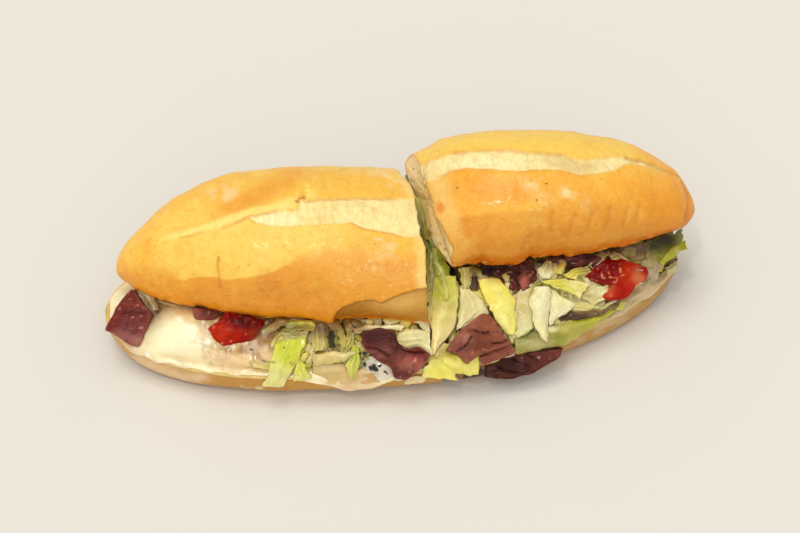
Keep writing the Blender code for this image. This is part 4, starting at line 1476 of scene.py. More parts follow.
@dataclass(frozen=True)
class Strew:
    """Small dark grains, such as cracked pepper, strewn round a place in the photograph."""

    x: float
    y: float
    spread: float
    count: int
    lift: float
    size: float
    seed: int
    level: float | None = None

    def add(self, skin: Skin) -> None:
        """Puts each grain on the slope or at the level: a lumpy ball of a few dozen faces."""
        rng = np.random.default_rng(self.seed)
        spots = np.array([self.x, self.y]) + rng.normal(0, 1, (self.count, 2)) * self.spread * np.array([1, 0.6])
        eye, rays = LENS.rays(spots)
        places = (
            SLOPE.meet(spots, self.lift) if self.level is None else eye + rays * ((self.level - eye[2]) / rays[:, 2:])
        )
        u = np.linspace(0.35, math.pi - 0.35, 5)[:, None]
        v = np.linspace(0, 2 * math.pi, 8, endpoint=False)[None, :]
        sphere = np.stack(np.broadcast_arrays(np.sin(u) * np.cos(v), np.sin(u) * np.sin(v), np.cos(u)), -1)
        for spot in places:
            ball = sphere * rng.uniform(0.6, 1.2, 3) * self.size * rng.uniform(0.5, 1)
            ball = ball * (1 + 0.3 * rng.uniform(-1, 1, ball.shape[:2]))[..., None]
            tint = painted(ball.shape[:2], (44, 34, 26)) * rng.uniform(0.5, 2.2, (*ball.shape[:2], 1))
            skin.tube(spot + ball, tint, 0.6)


@dataclass(frozen=True)
class Mound:
    """A heaped place in the sauce, centred at x, so wide and so high."""

    x: float
    width: float
    height: float

    def rise(self, x: Array) -> Array:
        """How high it is: a bell curve over x."""
        return self.height * np.exp(-(((x - self.x) / self.width) ** 2))


@dataclass(frozen=True)
class Sauce:
    """White sauce in the hollow of the lower bread, hanging over its front rim in drips."""

    heel: Heel
    hem: Pixels
    mounds: tuple[Mound, ...]
    thickness: float
    body: Shade
    seed: int
    last: float = 0.985
    gap: float = 0.3

    def corners(self, share: Array) -> Array:
        """The corners of each ring: over the sauce, back under it, and round the lip of a drip."""
        heel, loaf = self.heel, self.heel.loaf
        x = loaf.cut_x + (loaf.tip_x - loaf.cut_x) * share
        heaped = sum(mound.rise(x) for mound in self.mounds)
        order = np.asarray(self.hem, dtype=float)
        near = x + np.linspace(-2, 2, 9)[None, :]
        hang = np.interp(near, order[:, 0], order[:, 1]).mean(axis=1, keepdims=True)
        hang = np.maximum(0, hang + 0.5 * lumps(np.concatenate([x, 0 * x, 0 * x], 1), 6, self.seed)[:, None])
        high = 16 + self.thickness + 0 * x

        def level(across: float, z: Array) -> Array:
            """A corner at this share of the half width, in every ring."""
            return heel.point(share, np.full_like(share, across), z)[:, 0]

        def out(y: Array, z: Array) -> Array:
            """A step along y and z, in every ring."""
            return np.concatenate([0 * y, y, z], axis=1)

        over = [(-0.9, 18.2 + 0.35 * heaped), (-0.74, high - 0.8 + 0.8 * heaped), (-0.52, high + heaped)]
        over += [
            (-0.3, high + 0.4 + 0.85 * heaped), (0.2, high + 0.3 * heaped), (0.6, high - 0.4), (0.84, 17.6 + 0 * x),
        ]
        over = [(across, np.minimum(z, 31.6)) for across, z in over]
        under = [(0.84, 16), (0.62, 14.8), (0.3, 14), (0, 14), (-0.3, 14), (-0.62, 14.8)]
        rings = [level(across, z) for across, z in over]
        rings += [level(across, z + self.gap + 0 * x) for across, z in under]
        skin = 0.4 + 0.28 * np.minimum(hang, 6)
        rim = heel.point(share, -0.96 + 0.06 * np.maximum(0, 1 - hang / 2), 16 + 0 * x)[:, 0]
        lip = heel.point(share, -1 + 0.04 * np.maximum(0, 1 - hang / 2.5), 15.7 - hang)[:, 0]
        rings += [rim + out(0 * x, self.gap + 0 * x), lip - out(self.gap + 0 * x, 0 * x), lip - out(skin, 0.4 * skin)]
        rings += [lip + out(-skin - 0.8, 1.4 + 0 * x), rim + out(-0.6 - 0.5 * skin, 1.6 + 0 * x)]
        return np.stack(rings, axis=1)

    def build(self) -> None:
        """Smooths the rings through their corners and roughens what shows into streaks and lobes."""
        share = tip_rows(260, self.last)
        grid = np.einsum("ck,rkd->rcd", weights(18, 150), self.corners(share))
        normal = outward(grid, 130, 24)
        upper = smooth(normal[..., 2] - 0.4 * normal[..., 1], 0.1, 0.5)
        creased = smooth(np.abs(grid[..., 0] + 86), 14, 0) if self.heel.side == "left" else 0.3
        relief = 1 * rough(grid, 12, 2, self.seed) + (0.28 + 0.6 * creased) * rough(grid, 3.4, 3, self.seed + 3)
        grid = grid + normal * (relief * upper)[..., None]
        sketch = Sketch(grid, normal)
        left, spot = self.heel.side == "left", sketch.spot
        tint = layered(
            painted(relief.shape, self.body),
            ((238, 208, 168), smooth(rough(grid, 6, 3, self.seed + 5), 0.1, 0.9) * 0.55),
            ((226, 186, 150), smooth(15 - grid[..., 2], 0, 5) * 0.7),
            # Painted shade under the left lid's front edge.
            ((214, 196, 150), spot(178, 308, 30, 9, 10, 0.8) * 0.8),
            # Painted shadow beside the beef tip.
            ((144, 116, 74), spot(154, 314, 12, 24, 16, 0.8) * 0.7),
            ((210, 176, 128), spot(208, 332, 14, 24, -28, 0.8) * 0.5),
            ((222, 178, 120), spot(240, 352, 26, 8, 0, 0.8) * 0.6),
            # Painted shade under the lid, right of the tomato.
            ((160, 110, 54), spot(265, 338, 16, 16, 0, 0.7) * 0.9),
            ((216, 184, 150), spot(140, 356, 16, 6, 30, 0.8) * 0.6),
            ((226, 182, 134), spot(118, 344, 9, 20, -32, 0.7) * 0.8 * left),
            ((216, 190, 170), spot(178, 376, 34, 9, 12, 0.6) * 0.8 * left),
            # Painted shade under the left lid's front edge.
            ((214, 170, 124), spot(165, 302, 44, 6, 18, 0.8) * 0.7 * left),
            # Painted highlight: the sauce made whiter in its middle.
            ((255, 246, 212), spot(178, 338, 25, 15, 10) * 0.8),
            ((232, 194, 140), spot(250, 360, 36, 12) * 0.8),
            ((160, 116, 60), spot(243, 351, 29, 10, 4, 0.7) * smooth(rough(grid, 4.5, 3, 95), -0.5, 0.3) * 0.9),
        )
        if left:
            # In the puddle round the tomato, pale specks are painted highlights on the wet wrinkles, and the olive
            # between them is painted shade.
            puddle, cloud = spot(214, 344, 17, 20, -20, 0.8), smooth(rough(grid, 3.5, 3, 93), -0.1, 0.5)
            tint = layered(
                tint,
                ((170, 140, 88), smooth(-lumps(grid, 1.7, 91), 0.05, 0.7) * puddle * 0.6),
                ((255, 253, 240), smooth(lumps(grid, 1.3, 92), 0.3, 0.7) * puddle * 0.9),
                ((206, 150, 92), cloud * spot(136, 357, 24, 9, 40, 0.6) * 0.5),
                ((250, 236, 224), smooth(rough(grid, 3, 3, 94), 0.2, 0.8) * spot(138, 352, 26, 9, 40, 0.6) * 0.8),
            )
        tint = layered(tint, ((200, 156, 88), spot(352, 376, 18, 9, 0, 0.7) * 0.85))
        # Painted shade close below the lids' front edges.
        tint = painted_lid_shade(tint, sketch, 0.7)
        wet = np.clip(0.55 + 0.5 * lumps(grid, 5, self.seed + 7), 0, 1)
        skin = Skin()
        skin.tube(grid, tint, wet)
        skin.piece(f"sauce_{self.heel.side}_spread", SAUCE, f"sauce_{self.heel.side}")


@dataclass(frozen=True)
class Filling:
    """What lies between a lid and its heel: wavy slices for the folded beef, and a heap of shredded lettuce."""

    side: str
    lid: LidShape
    heel: Heel
    beef_low: float
    beef_high: float
    beef_inset: float
    foot: float
    draw: float
    brow: float
    seed: int

    def edges(self, share: Array) -> tuple[Array, Array, Array]:
        """y of the lid's front, of the heel's front and of the fillings' back at each share of the lid."""
        loaf, heel = self.lid.loaf, self.heel.loaf
        x = loaf.cut_x + (loaf.tip_x - loaf.cut_x) * share
        below = np.clip((x - heel.cut_x) / (heel.tip_x - heel.cut_x), 0, 1)
        lid_front, lid_back = (loaf.middle(share) + k * loaf.half(share) for k in (-1, 1))
        heel_front, heel_back = (heel.middle(below) + k * heel.half(below) for k in (-1, 1))
        return lid_front, heel_front, np.minimum(lid_back, heel_back) - 5

    def slices(self) -> None:
        """Three slices on each other, for the folded beef: flat rings, each with its own waves at the edge."""
        share = np.linspace(0.02, 0.88, 150)[:, None]
        lid_front, heel_front, back = self.edges(share)
        skin = Skin()
        thick = (self.beef_high - self.beef_low) / 3
        for k in range(3):
            x = self.lid.loaf.cut_x + (self.lid.loaf.tip_x - self.lid.loaf.cut_x) * share
            spot = np.concatenate([x, 0 * x, 0 * x], 1)
            front = (
                np.maximum(lid_front, heel_front) + self.beef_inset + 2.2 * rough(spot, 9, 2, self.seed + k)[:, None]
            )
            rear = np.maximum(back - 1 + 2 * rough(spot, 9, 2, self.seed + k + 9)[:, None], front + 5)
            t = np.linspace(0, 1, 44)[None, :]
            y = front * (1 - t) + rear * t
            low = self.beef_low + thick * k + 0.15
            wave = 0.35 * rough(np.stack(np.broadcast_arrays(x, y, 0 * y), -1), 8, 2, self.seed + 20 + k)
            top = self.lid.loaf.place(share, y, low + thick - 0.3 + wave)
            under = self.lid.loaf.place(share, y, low + wave)
            grid = np.concatenate([top, under[:, ::-1]], axis=1)
            tint = layered(
                painted(grid.shape[:2], (128, 78, 60)),
                ((176, 116, 104), smooth(rough(grid, 5, 3, self.seed + 30), 0, 0.8) * 0.7),
                ((92, 52, 36), smooth(rough(grid, 9, 2, self.seed + 31), 0.1, 0.8) * 0.6),
            )
            skin.tube(grid, tint, 0.5)
        skin.piece(f"beef_slices_{self.side}_folds", MEAT, f"beef_slices_{self.side}")

    def core(self, skin: Skin) -> None:
        """The heap under the shreds: rings over the slices and down the front slope, very lumpy."""
        share = np.linspace(0.015, 0.9, 120)[:, None]
        lid_front, heel_front, back = self.edges(share)
        top, over = self.lid.base - 1.2, self.beef_high + 1.6
        brow = lid_front + self.brow + (13 * smooth(share, 0.42, 0.56) if self.side == "left" else 0)
        behind = np.maximum(lid_front, heel_front) + self.beef_inset - 0.6
        foot = np.minimum(heel_front + self.foot + self.draw * np.maximum(0, share - 0.4), behind - 3)
        back = np.maximum(back, brow + 9)
        corners = [
            (foot, 20), (foot + 0.5, 22.5), (0.5 * (foot + brow), 0.45 * 16 + 0.55 * top), (brow, top - 3),
            (brow + 4, top), (0.5 * (brow + back), top), (back - 2, top), (back, 0.5 * (top + over)),
            (back - 2, over), (0.5 * (brow + back), over), (behind + 0.4, over), (behind, over - 1), (behind, 20),
            (0.5 * (foot + behind), 19.6),
        ]
        rings = np.stack([self.lid.loaf.place(share, y, z + 0 * share)[:, 0] for y, z in corners], axis=1)
        grid = np.einsum("ck,rkd->rcd", weights(14, 110), rings)
        normal = outward(grid, 60, 30)
        bumps = rough(grid, 6, 3, self.seed + 40)
        grid = grid + normal * (0.9 * bumps - 0.9)[..., None]
        # Painted shade: the heap is dark olive in its dips, standing for the shade between the shreds.
        tint = layered(
            painted(bumps.shape, (120, 104, 50)),
            ((176, 160, 96), smooth(bumps, -0.1, 0.8)),
            ((56, 42, 16), smooth(-bumps, 0.1, 0.9) * 0.6),
        )
        if self.side == "left":
            tint = mixed(tint, seen(190, 160, 116), smooth(share + 0 * bumps, 0.46, 0.56))
        skin.tube(grid, tint, 0.4)

    def shreds(self, skin: Skin, count: int, reach: tuple[float, float]) -> None:
        """Shreds of lettuce over the front slope, at the back and over the cut, by a seeded rule.

        Each is a strip along a bent line, laid on the slope, curled across and waved along.

        Args:
            skin: what they are added to.
            count: how many.
            reach: the part of the lid's length that they cover.
        """
        rng = np.random.default_rng(self.seed)
        loaf = self.lid.loaf
        tones = (
            (230, 222, 160), (240, 234, 200), (214, 205, 120), (196, 190, 84), (236, 222, 130), (206, 190, 140)
        )
        for i in range(count):
            s = rng.uniform(*reach)
            length, width = rng.uniform(14, 32), rng.uniform(3.5, 8)
            u, t = np.linspace(0, 1, 22)[:, None], np.linspace(-1, 1, 7)[None, :]
            lid_front, heel_front, back = (float(e) for e in self.edges(np.array(s)))
            x = float(loaf.cut_x + (loaf.tip_x - loaf.cut_x) * s)
            wide = 0.5 * width * (0.55 + 0.45 * np.sin(math.pi * np.clip(u, 0.02, 0.98)) ** 0.5)
            lift = rng.uniform(-0.8, 2.2)
            if i % 4 == 3:
                drop = self.lid.base - 3 - (self.lid.base - 22) * u * rng.uniform(0.5, 1)
                path_x = x + (u - 0.5) * rng.uniform(-14, 14)
                y = back - 4 + 4.5 * np.sin(1.6 * u) + 1 * t**2
                grid = np.stack(np.broadcast_arrays(path_x + wide * t * 1.2, y, drop + 0 * t), -1)
            else:
                heading = rng.uniform(-1.2, 1.2) - 0.5 * math.pi
                way = heading + rng.uniform(-0.9, 0.9) * (u - 0.3)
                step = length / 22
                start_y = rng.uniform(heel_front + 7, lid_front + 9)
                path_x = x + np.cumsum(np.cos(way), axis=0) * step * 0.9
                path_y = start_y + np.cumsum(np.sin(way), axis=0) * step * 0.72
                limit = np.interp(path_x, *self.heel.loaf.edge(-1)) + 3.5 + rng.uniform(0, 2.5)
                path_y = np.maximum(path_y, limit)
                gx, gy = path_x - np.sin(way) * wide * t, path_y + np.cos(way) * wide * t * 0.8
                z = 0.65 * SLOPE.height(gx, gy) + 0.35 * SLOPE.height(path_x, path_y) + lift + 0.9 * (1 - t**2)
                z = (
                    z + 0.8 * np.sin(u * rng.uniform(4, 11) + rng.uniform(0, 6))
                    + 0.3 * np.sin(9 * t + 5 * u)
                )
                under_lid = np.interp(gx, *loaf.edge(-1)) - 1
                z = np.where(gy > under_lid, np.minimum(z, self.lid.base - 1), z)
                grid = np.stack([gx, gy, np.maximum(z, 17.2)], -1)
            if normals(grid)[..., 2].mean() < 0:
                grid = grid[:, ::-1]
            first, second = (tones[k] for k in rng.integers(0, len(tones), 2))
            tint = layered(
                painted(grid.shape[:2], first),
                (second, smooth(u + 0 * t, 0.2, 0.9)),
                ((250, 246, 220), np.exp(-((t / 0.22) ** 2)) * rng.uniform(0, 0.7) + 0 * u),
            )
            tint = tint * (0.93 + 0.14 * lumps(grid, 2.5, self.seed + i) + 0.05 * lift)[..., None]
            # Painted shade: the left shreds lie in the lid's shade and are coloured darker.
            if self.side == "left":
                tint = tint * np.array([0.86, 0.8, 0.62])
            # Painted shade close below the lids' front edges.
            tint = painted_lid_shade(tint, Sketch(grid, normals(grid)))
            skin.pillow(grid, 0.6, tint, np.clip(0.45 + 0.5 * lumps(grid, 5, i), 0, 1))

    def build(self, count: int, reach: tuple[float, float]) -> None:
        """The slices, and the heap with its shreds."""
        self.slices()
        skin = Skin()
        self.core(skin)
        self.shreds(skin, count, reach)
        skin.piece(f"lettuce_{self.side}_shreds", LEAF, f"lettuce_{self.side}")


LEFT_SAUCE = Sauce(
    LEFT_HEEL,
    (
        (-144, 0), (-138, 0.5), (-133, 1.5), (-129, 2.5), (-124, 0.8), (-119, 1.2), (-114, 0.3), (-108, 0), (-100, 0.2),
        (-95, 0.8), (-91, 0.2), (-87, 0), (-60, 0.2), (-45, 3), (-34, 7), (-26, 6), (-18, 3), (-8, 0),
    ),
    (Mound(-102, 25, 11.5), Mound(-66, 16, 5)), 3.8, (252, 236, 196), 41,
)
RIGHT_SAUCE = Sauce(
    RIGHT_HEEL, ((90, 0), (98, 0.4), (104, 1.5), (112, 0.5), (118, 1), (124, 2), (130, 0.5), (140, 0)),
    (Mound(116, 12, 3),), 3.2, (214, 190, 150), 42,
)
LEFT_FILLING = Filling("left", LEFT_LID.shape, LEFT_HEEL, 21.5, 26.5, 3, 13, 60, 1, 31)
RIGHT_FILLING = Filling("right", RIGHT_LID.shape, RIGHT_HEEL, 22, 32, 1, 9, 0, 3, 32)

GREEN, LIME, PALE, WHITE = (196, 204, 84), (222, 224, 96), (230, 224, 164), (242, 238, 212)
YELLOW, OLIVE, DARK_GREEN, CREAM = (248, 236, 116), (134, 136, 44), (84, 98, 30), (236, 228, 190)

NODE_LEAVES = {
    "leaf_square": Leaf(
        ((276, 339), (273, 354), (269, 371), (263, 388)), ((306, 335), (303, 348), (297, 364), (284, 387)),
        (206, 214, 56), (232, 228, 170), 3, ribs=1.5, rib=(176, 196, 40), rib_strength=0.45, seed=3,
    ),
    "leaf_rib": Leaf(
        ((392, 337), (401, 331), (412, 328), (430, 330)), ((394, 343), (405, 349), (418, 347), (431, 355)),
        (216, 206, 160), (236, 230, 190), 4, ribs=3, rib_strength=0.3, seed=4,
    ),
    "leaf_gap": Leaf(
        ((434, 276), (430, 300), (430, 326), (432, 355)), ((457, 275), (459, 292), (457, 322), (436, 354)),
        (212, 208, 110), (246, 226, 172), (5, 4), ribs=1.2, rib_strength=0.3, seed=5,
        marks=(
            (440, 284, 12, 14, (176, 190, 60), 0.7), (444, 306, 14, 4, (190, 180, 90), 0.5),
            (446, 334, 14, 12, (250, 226, 176), 0.7),
        ),
        painted_glints=0.9,
    ),
    "leaf_yellow": Leaf(
        ((477, 278), (480, 292), (492, 315), (507, 337)), ((500, 279), (509, 286), (516, 298), (516, 335)),
        (250, 234, 110), (252, 240, 140), 4, ribs=0.8, rib=(255, 252, 190), seed=6,
    ),
    "leaf_pale": Leaf(
        ((516, 293), (516, 315), (516, 340)), ((536, 286), (536, 310), (532, 329)), (214, 200, 154), (222, 220, 178), 3,
        ribs=0.6, rib_strength=0.2, seed=7, painted_glints=0.9,
    ),
    "leaf_long": Leaf(
        ((513, 339), (531, 331), (549, 326), (570, 321), (596, 317), (615, 309)),
        ((514, 353), (537, 353), (562, 347), (580, 337), (598, 323), (616, 311)), (168, 162, 92), (184, 186, 70), 3,
        ribs=1.5, rib=(222, 216, 160), seed=8, painted_glints=0.9,
        marks=(
            (524, 336, 14, 8, (96, 110, 24), 0.85), (536, 344, 16, 5, (206, 204, 160), 0.7),
            (552, 329, 5, 3, (246, 246, 220), 0.8), (560, 338, 5, 7, (140, 160, 40), 0.6),
            (588, 323, 10, 5, (170, 180, 40), 0.6),
        ),
    ),
    "leaf_end": Leaf(
        ((655, 271), (656, 257), (669, 247), (685, 241)), ((661, 271), (666, 263), (674, 256), (687, 248)),
        (160, 168, 30), (134, 146, 20), (28.5, 38), ribs=1, rib=(222, 226, 90), wet=0.1, seed=9, level=0,
    ),
    "leaf_front": Leaf(
        ((441, 352), (460, 354), (479, 355)), ((446, 369), (462, 374), (479, 376)), (244, 232, 116), (250, 240, 130), 3,
        ribs=1.2, rib_strength=0.2, seed=10,
    ),
}
LEFT_LEAVES_AND_SHADE_SHEETS = (
    Leaf(((261, 329), (272, 322), (284, 319)), ((262, 334), (275, 329), (286, 324)), (226, 222, 180), PALE, 5, seed=22),
    Leaf(((284, 319), (298, 319), (316, 321)), ((285, 331), (300, 332), (315, 331)), (170, 186, 66), LIME, 4, seed=21),
    Leaf(
        ((283, 328), (296, 328), (309, 328)), ((284, 342), (297, 341), (308, 338)), (170, 164, 96), (190, 180, 110),
        3.2, seed=30,
    ),
    Leaf(
        ((311, 326), (312, 340), (313, 351)), ((328, 322), (328, 336), (326, 350)), (170, 160, 86), (196, 184, 116), 3,
        seed=23,
    ),
    # Painted shade: a near-black sheet laid in a dark gap between the leaves.
    Leaf(
        ((329, 332), (330, 348)), ((336, 330), (336, 348)), (40, 40, 12), (56, 60, 20), 2.8, seed=34, wet=0,
        rib_strength=0, painted_glints=0,
    ),
    Leaf(((332, 330), (333, 342)), ((338, 329), (338, 344)), (150, 158, 84), OLIVE, 3.6, seed=31),
    Leaf(
        ((339, 328), (340, 346), (340, 363)), ((341, 328), (347, 339), (341, 363)), (196, 184, 92), (206, 196, 120), 4,
        seed=32,
    ),
    Leaf(
        ((346, 326), (344, 344), (340, 363)), ((357, 333), (355, 344), (343, 362)), (176, 168, 78), (204, 192, 110),
        3.5, seed=25,
    ),
    Leaf(
        ((311, 355), (323, 352), (340, 351), (354, 351)), ((313, 366), (326, 365), (341, 362), (356, 355)),
        (210, 194, 136), (222, 210, 160), 5, ribs=0.5, seed=24,
    ),
    Leaf(
        ((352, 344), (350, 360), (345, 366), (349, 377)), ((359, 348), (361, 360), (359, 371), (354, 379)),
        (184, 196, 66), (206, 206, 104), (4.5, 3), seed=26,
    ),
    Leaf(
        ((297, 362), (295, 373), (293, 382)), ((303, 361), (309, 370), (311, 378)), (220, 222, 90), (226, 224, 140),
        (3, 2.5), seed=27,
    ),
    Leaf(
        ((352, 329), (370, 325), (388, 324), (406, 325)), ((355, 334), (372, 331), (388, 330), (401, 331)),
        (234, 222, 184), WHITE, 5, ribs=0.5, seed=28,
    ),
    Leaf(
        ((412, 322), (418, 326), (424, 333)), ((428, 320), (431, 328), (432, 336)), (220, 210, 170), CREAM, 3, seed=33,
    ),
)
RIGHT_LEAVES_AND_SHADE_SHEETS = (
    Leaf(
        ((405, 176), (411, 190), (416, 205), (419, 224)), ((409, 174), (417, 190), (424, 208), (430, 226)),
        (104, 116, 56), (170, 176, 100), (1, 3), seed=36,
    ),
    Leaf(
        ((411, 196), (416, 210), (420, 228), (422, 240)), ((420, 197), (424, 212), (429, 230), (434, 246)),
        (186, 190, 110), OLIVE, 3.5, seed=37,
    ),
    Leaf(
        ((419, 228), (423, 246), (426, 262)), ((428, 232), (436, 248), (447, 262)), (120, 134, 48), DARK_GREEN, (2, 3),
        seed=41,
    ),
    Leaf(
        ((424, 254), (427, 272), (427, 292)), ((440, 254), (438, 272), (434, 292)), (150, 156, 96), (168, 160, 110),
        (2.5, 3), seed=38,
    ),
    Leaf(
        ((430, 250), (433, 270), (442, 302)), ((442, 250), (450, 268), (448, 302)), (118, 136, 16), (200, 200, 100),
        (3, 5.8), ribs=1, rib_strength=0.2, seed=42, painted_glints=0.9,
    ),
    Leaf(
        ((426, 284), (427, 304), (429, 324)), ((434, 282), (435, 304), (436, 326)), (204, 190, 126), PALE, (2.5, 3),
        seed=39,
    ),
    Leaf(
        ((458, 268), (460, 278), (462, 289)), ((473, 267), (473, 277), (469, 288)), (190, 184, 100), (214, 204, 140), 3,
        seed=40,
    ),
    Leaf(
        ((459, 288), (458, 308), (456, 330)), ((470, 287), (484, 300), (492, 314), (464, 328)), (226, 214, 164),
        (238, 228, 190), 3, ribs=3, rib_strength=0.6, seed=43,
    ),
    Leaf(
        ((532, 286), (529, 300), (531, 314), (541, 339)), ((550, 287), (550, 302), (548, 322), (548, 342)), WHITE,
        CREAM, 5, bulge=2, ribs=0.8, seed=44,
    ),
    Leaf(
        ((545, 287), (548, 305), (549, 327)), ((557, 292), (576, 303), (571, 309), (553, 322)), (240, 236, 196), WHITE,
        4, seed=45,
    ),
    Leaf(
        ((545, 260), (537, 271), (543, 279)), ((551, 261), (556, 272), (550, 279)), (214, 204, 160), WHITE, (3, 4),
        seed=46,
    ),
    Leaf(((559, 259), (557, 273)), ((567, 263), (562, 274)), (226, 212, 96), YELLOW, (3, 4), seed=47),
    Leaf(
        ((563, 275), (571, 270), (578, 267), (588, 267)), ((577, 282), (580, 277), (583, 275), (591, 273)),
        (240, 228, 100), (222, 208, 150), 5, ruffle=1.4, seed=48,
    ),
    Leaf(
        ((541, 281), (558, 279), (574, 281), (589, 284)), ((556, 289), (568, 293), (574, 296), (580, 299)),
        (226, 222, 96), (240, 230, 160), (4, 5), ruffle=1.2, seed=49,
    ),
    Leaf(
        ((585, 290), (595, 284), (609, 285)), ((582, 299), (596, 305), (606, 300)), (212, 202, 156), CREAM, 3.5,
        ruffle=1.2, seed=50,
    ),
    Leaf(
        ((576, 303), (586, 302), (598, 305)), ((572, 311), (586, 312), (600, 310)), (218, 208, 146), PALE, 2.5, seed=57,
    ),
    Leaf(((615, 310), (618, 305), (620, 301)), ((623, 311), (625, 307), (626, 303)), (196, 200, 66), GREEN, 4, seed=51),
    Leaf(
        ((441, 341), (431, 358), (421, 378)), ((451, 345), (452, 360), (457, 380)), (226, 218, 116), (250, 240, 128), 2,
        ribs=1, rib_strength=0.2, seed=52, marks=((439, 350, 9, 8, (150, 126, 50), 0.7),),
    ),
    Leaf(
        ((641, 244), (646, 256), (652, 267)), ((682, 229), (683, 238), (684, 246)), (82, 90, 4), (118, 122, 14),
        (40.4, 31), ribs=0.7, rib_strength=0.05, wet=-0.5, seed=54, level=0,
        marks=((662, 238, 11, 5, (60, 62, 4), 0.7), (649, 262, 8, 9, (166, 148, 96), 0.7)), painted_glints=0.2,
    ),
    Leaf(
        ((665, 268), (670, 265), (677, 262)), ((668, 275), (674, 273), (678, 269)), (190, 188, 150), (206, 204, 170), 0,
        seed=58, level=23,
    ),
    Leaf(
        ((559, 320), (566, 312), (588, 311)), ((572, 321), (590, 318), (606, 309)), (70, 44, 22), (130, 104, 74), 3,
        seed=60, wet=0.1, rib_strength=0, painted_glints=0,
    ),
    # Painted shade: a near-black sheet laid in a dark gap between the leaves.
    Leaf(
        ((470, 276), (470, 290)), ((478, 277), (478, 291)), (60, 44, 12), (84, 64, 24), 3.6, seed=61, wet=0.1,
        rib_strength=0, painted_glints=0,
    ),
    Leaf(
        ((498, 316), (507, 322), (512, 338)), ((514, 300), (522, 314), (522, 336)), (226, 220, 170), WHITE, 1.5,
        seed=55,
    ),
    Leaf(
        ((602, 250), (604, 257), (606, 264)), ((647, 242), (651, 254), (654, 268)), (142, 120, 78), (176, 160, 118),
        (40.7, 31.5), bulge=0.5, ruffle=0.3, ribs=0.4, rib_strength=0, seed=59, level=0,
        marks=((612, 252, 12, 4, (96, 60, 44), 0.6),), painted_glints=0.3,
    ),
)
POURS = (
    Pour(
        ((361, 357), (363, 368), (374, 379)), ((402, 357), (406, 368), (402, 381)), (206, 196, 184), (226, 214, 196),
        (2.5, 1.5), wet=0.9, seed=91, thickness=1.4,
    ),
    Pour(
        ((311, 364), (313, 374), (316, 383)), ((346, 363), (350, 372), (354, 382)), (208, 180, 120), (218, 184, 122),
        (1.5, 1), seed=92,
    ),
    Pour(
        ((352, 374), (353, 379), (356, 383)), ((388, 371), (390, 377), (388, 381)), (206, 166, 100), (204, 154, 90),
        (1.5, 1), seed=93,
    ),
    Pour(
        ((642, 262), (643, 272), (646, 281)), ((657, 259), (662, 268), (657, 279)), (160, 134, 96), (178, 160, 134),
        (33, 25), seed=94, level=0,
    ),
    Pour(
        ((634, 270), (637, 277), (634, 284)), ((643, 270), (646, 277), (642, 284)), (246, 206, 190), (240, 190, 170),
        10.5, wet=0.9, seed=95, thickness=1,
    ),
    Pour(
        ((424, 377), (424, 382)), ((404, 377), (404, 383)), (226, 204, 160), (230, 206, 166), (1, 0.5), wet=0.7,
        seed=96, thickness=1,
    ),
    Pour(
        ((137, 292), (146, 301), (152, 311)), ((143, 290), (153, 298), (159, 308)), (176, 156, 122), (150, 128, 90), 3,
        ribs=0.5, wet=0.6, seed=97, thickness=0.8,
    ),
)
PEPPER = (
    Strew(373, 368, 3.2, 16, 4.2, 1.1, 1), Strew(384, 372, 1.8, 7, 3.6, 0.9, 2), Strew(365, 354, 2.6, 7, 5, 0.9, 3),
    Strew(673, 259, 2, 8, 5, 1.1, 4, 21), Strew(666, 265, 1.2, 3, 4, 0.6, 5, 20.5), Strew(252, 349, 0.6, 2, 3, 0.6, 6),
    Strew(443, 260, 1, 2, 6, 0.5, 7), Strew(300, 350, 12, 5, 5, 0.35, 8), Strew(520, 330, 30, 8, 6, 0.3, 9),
)
MAUVE = (180, 120, 116)
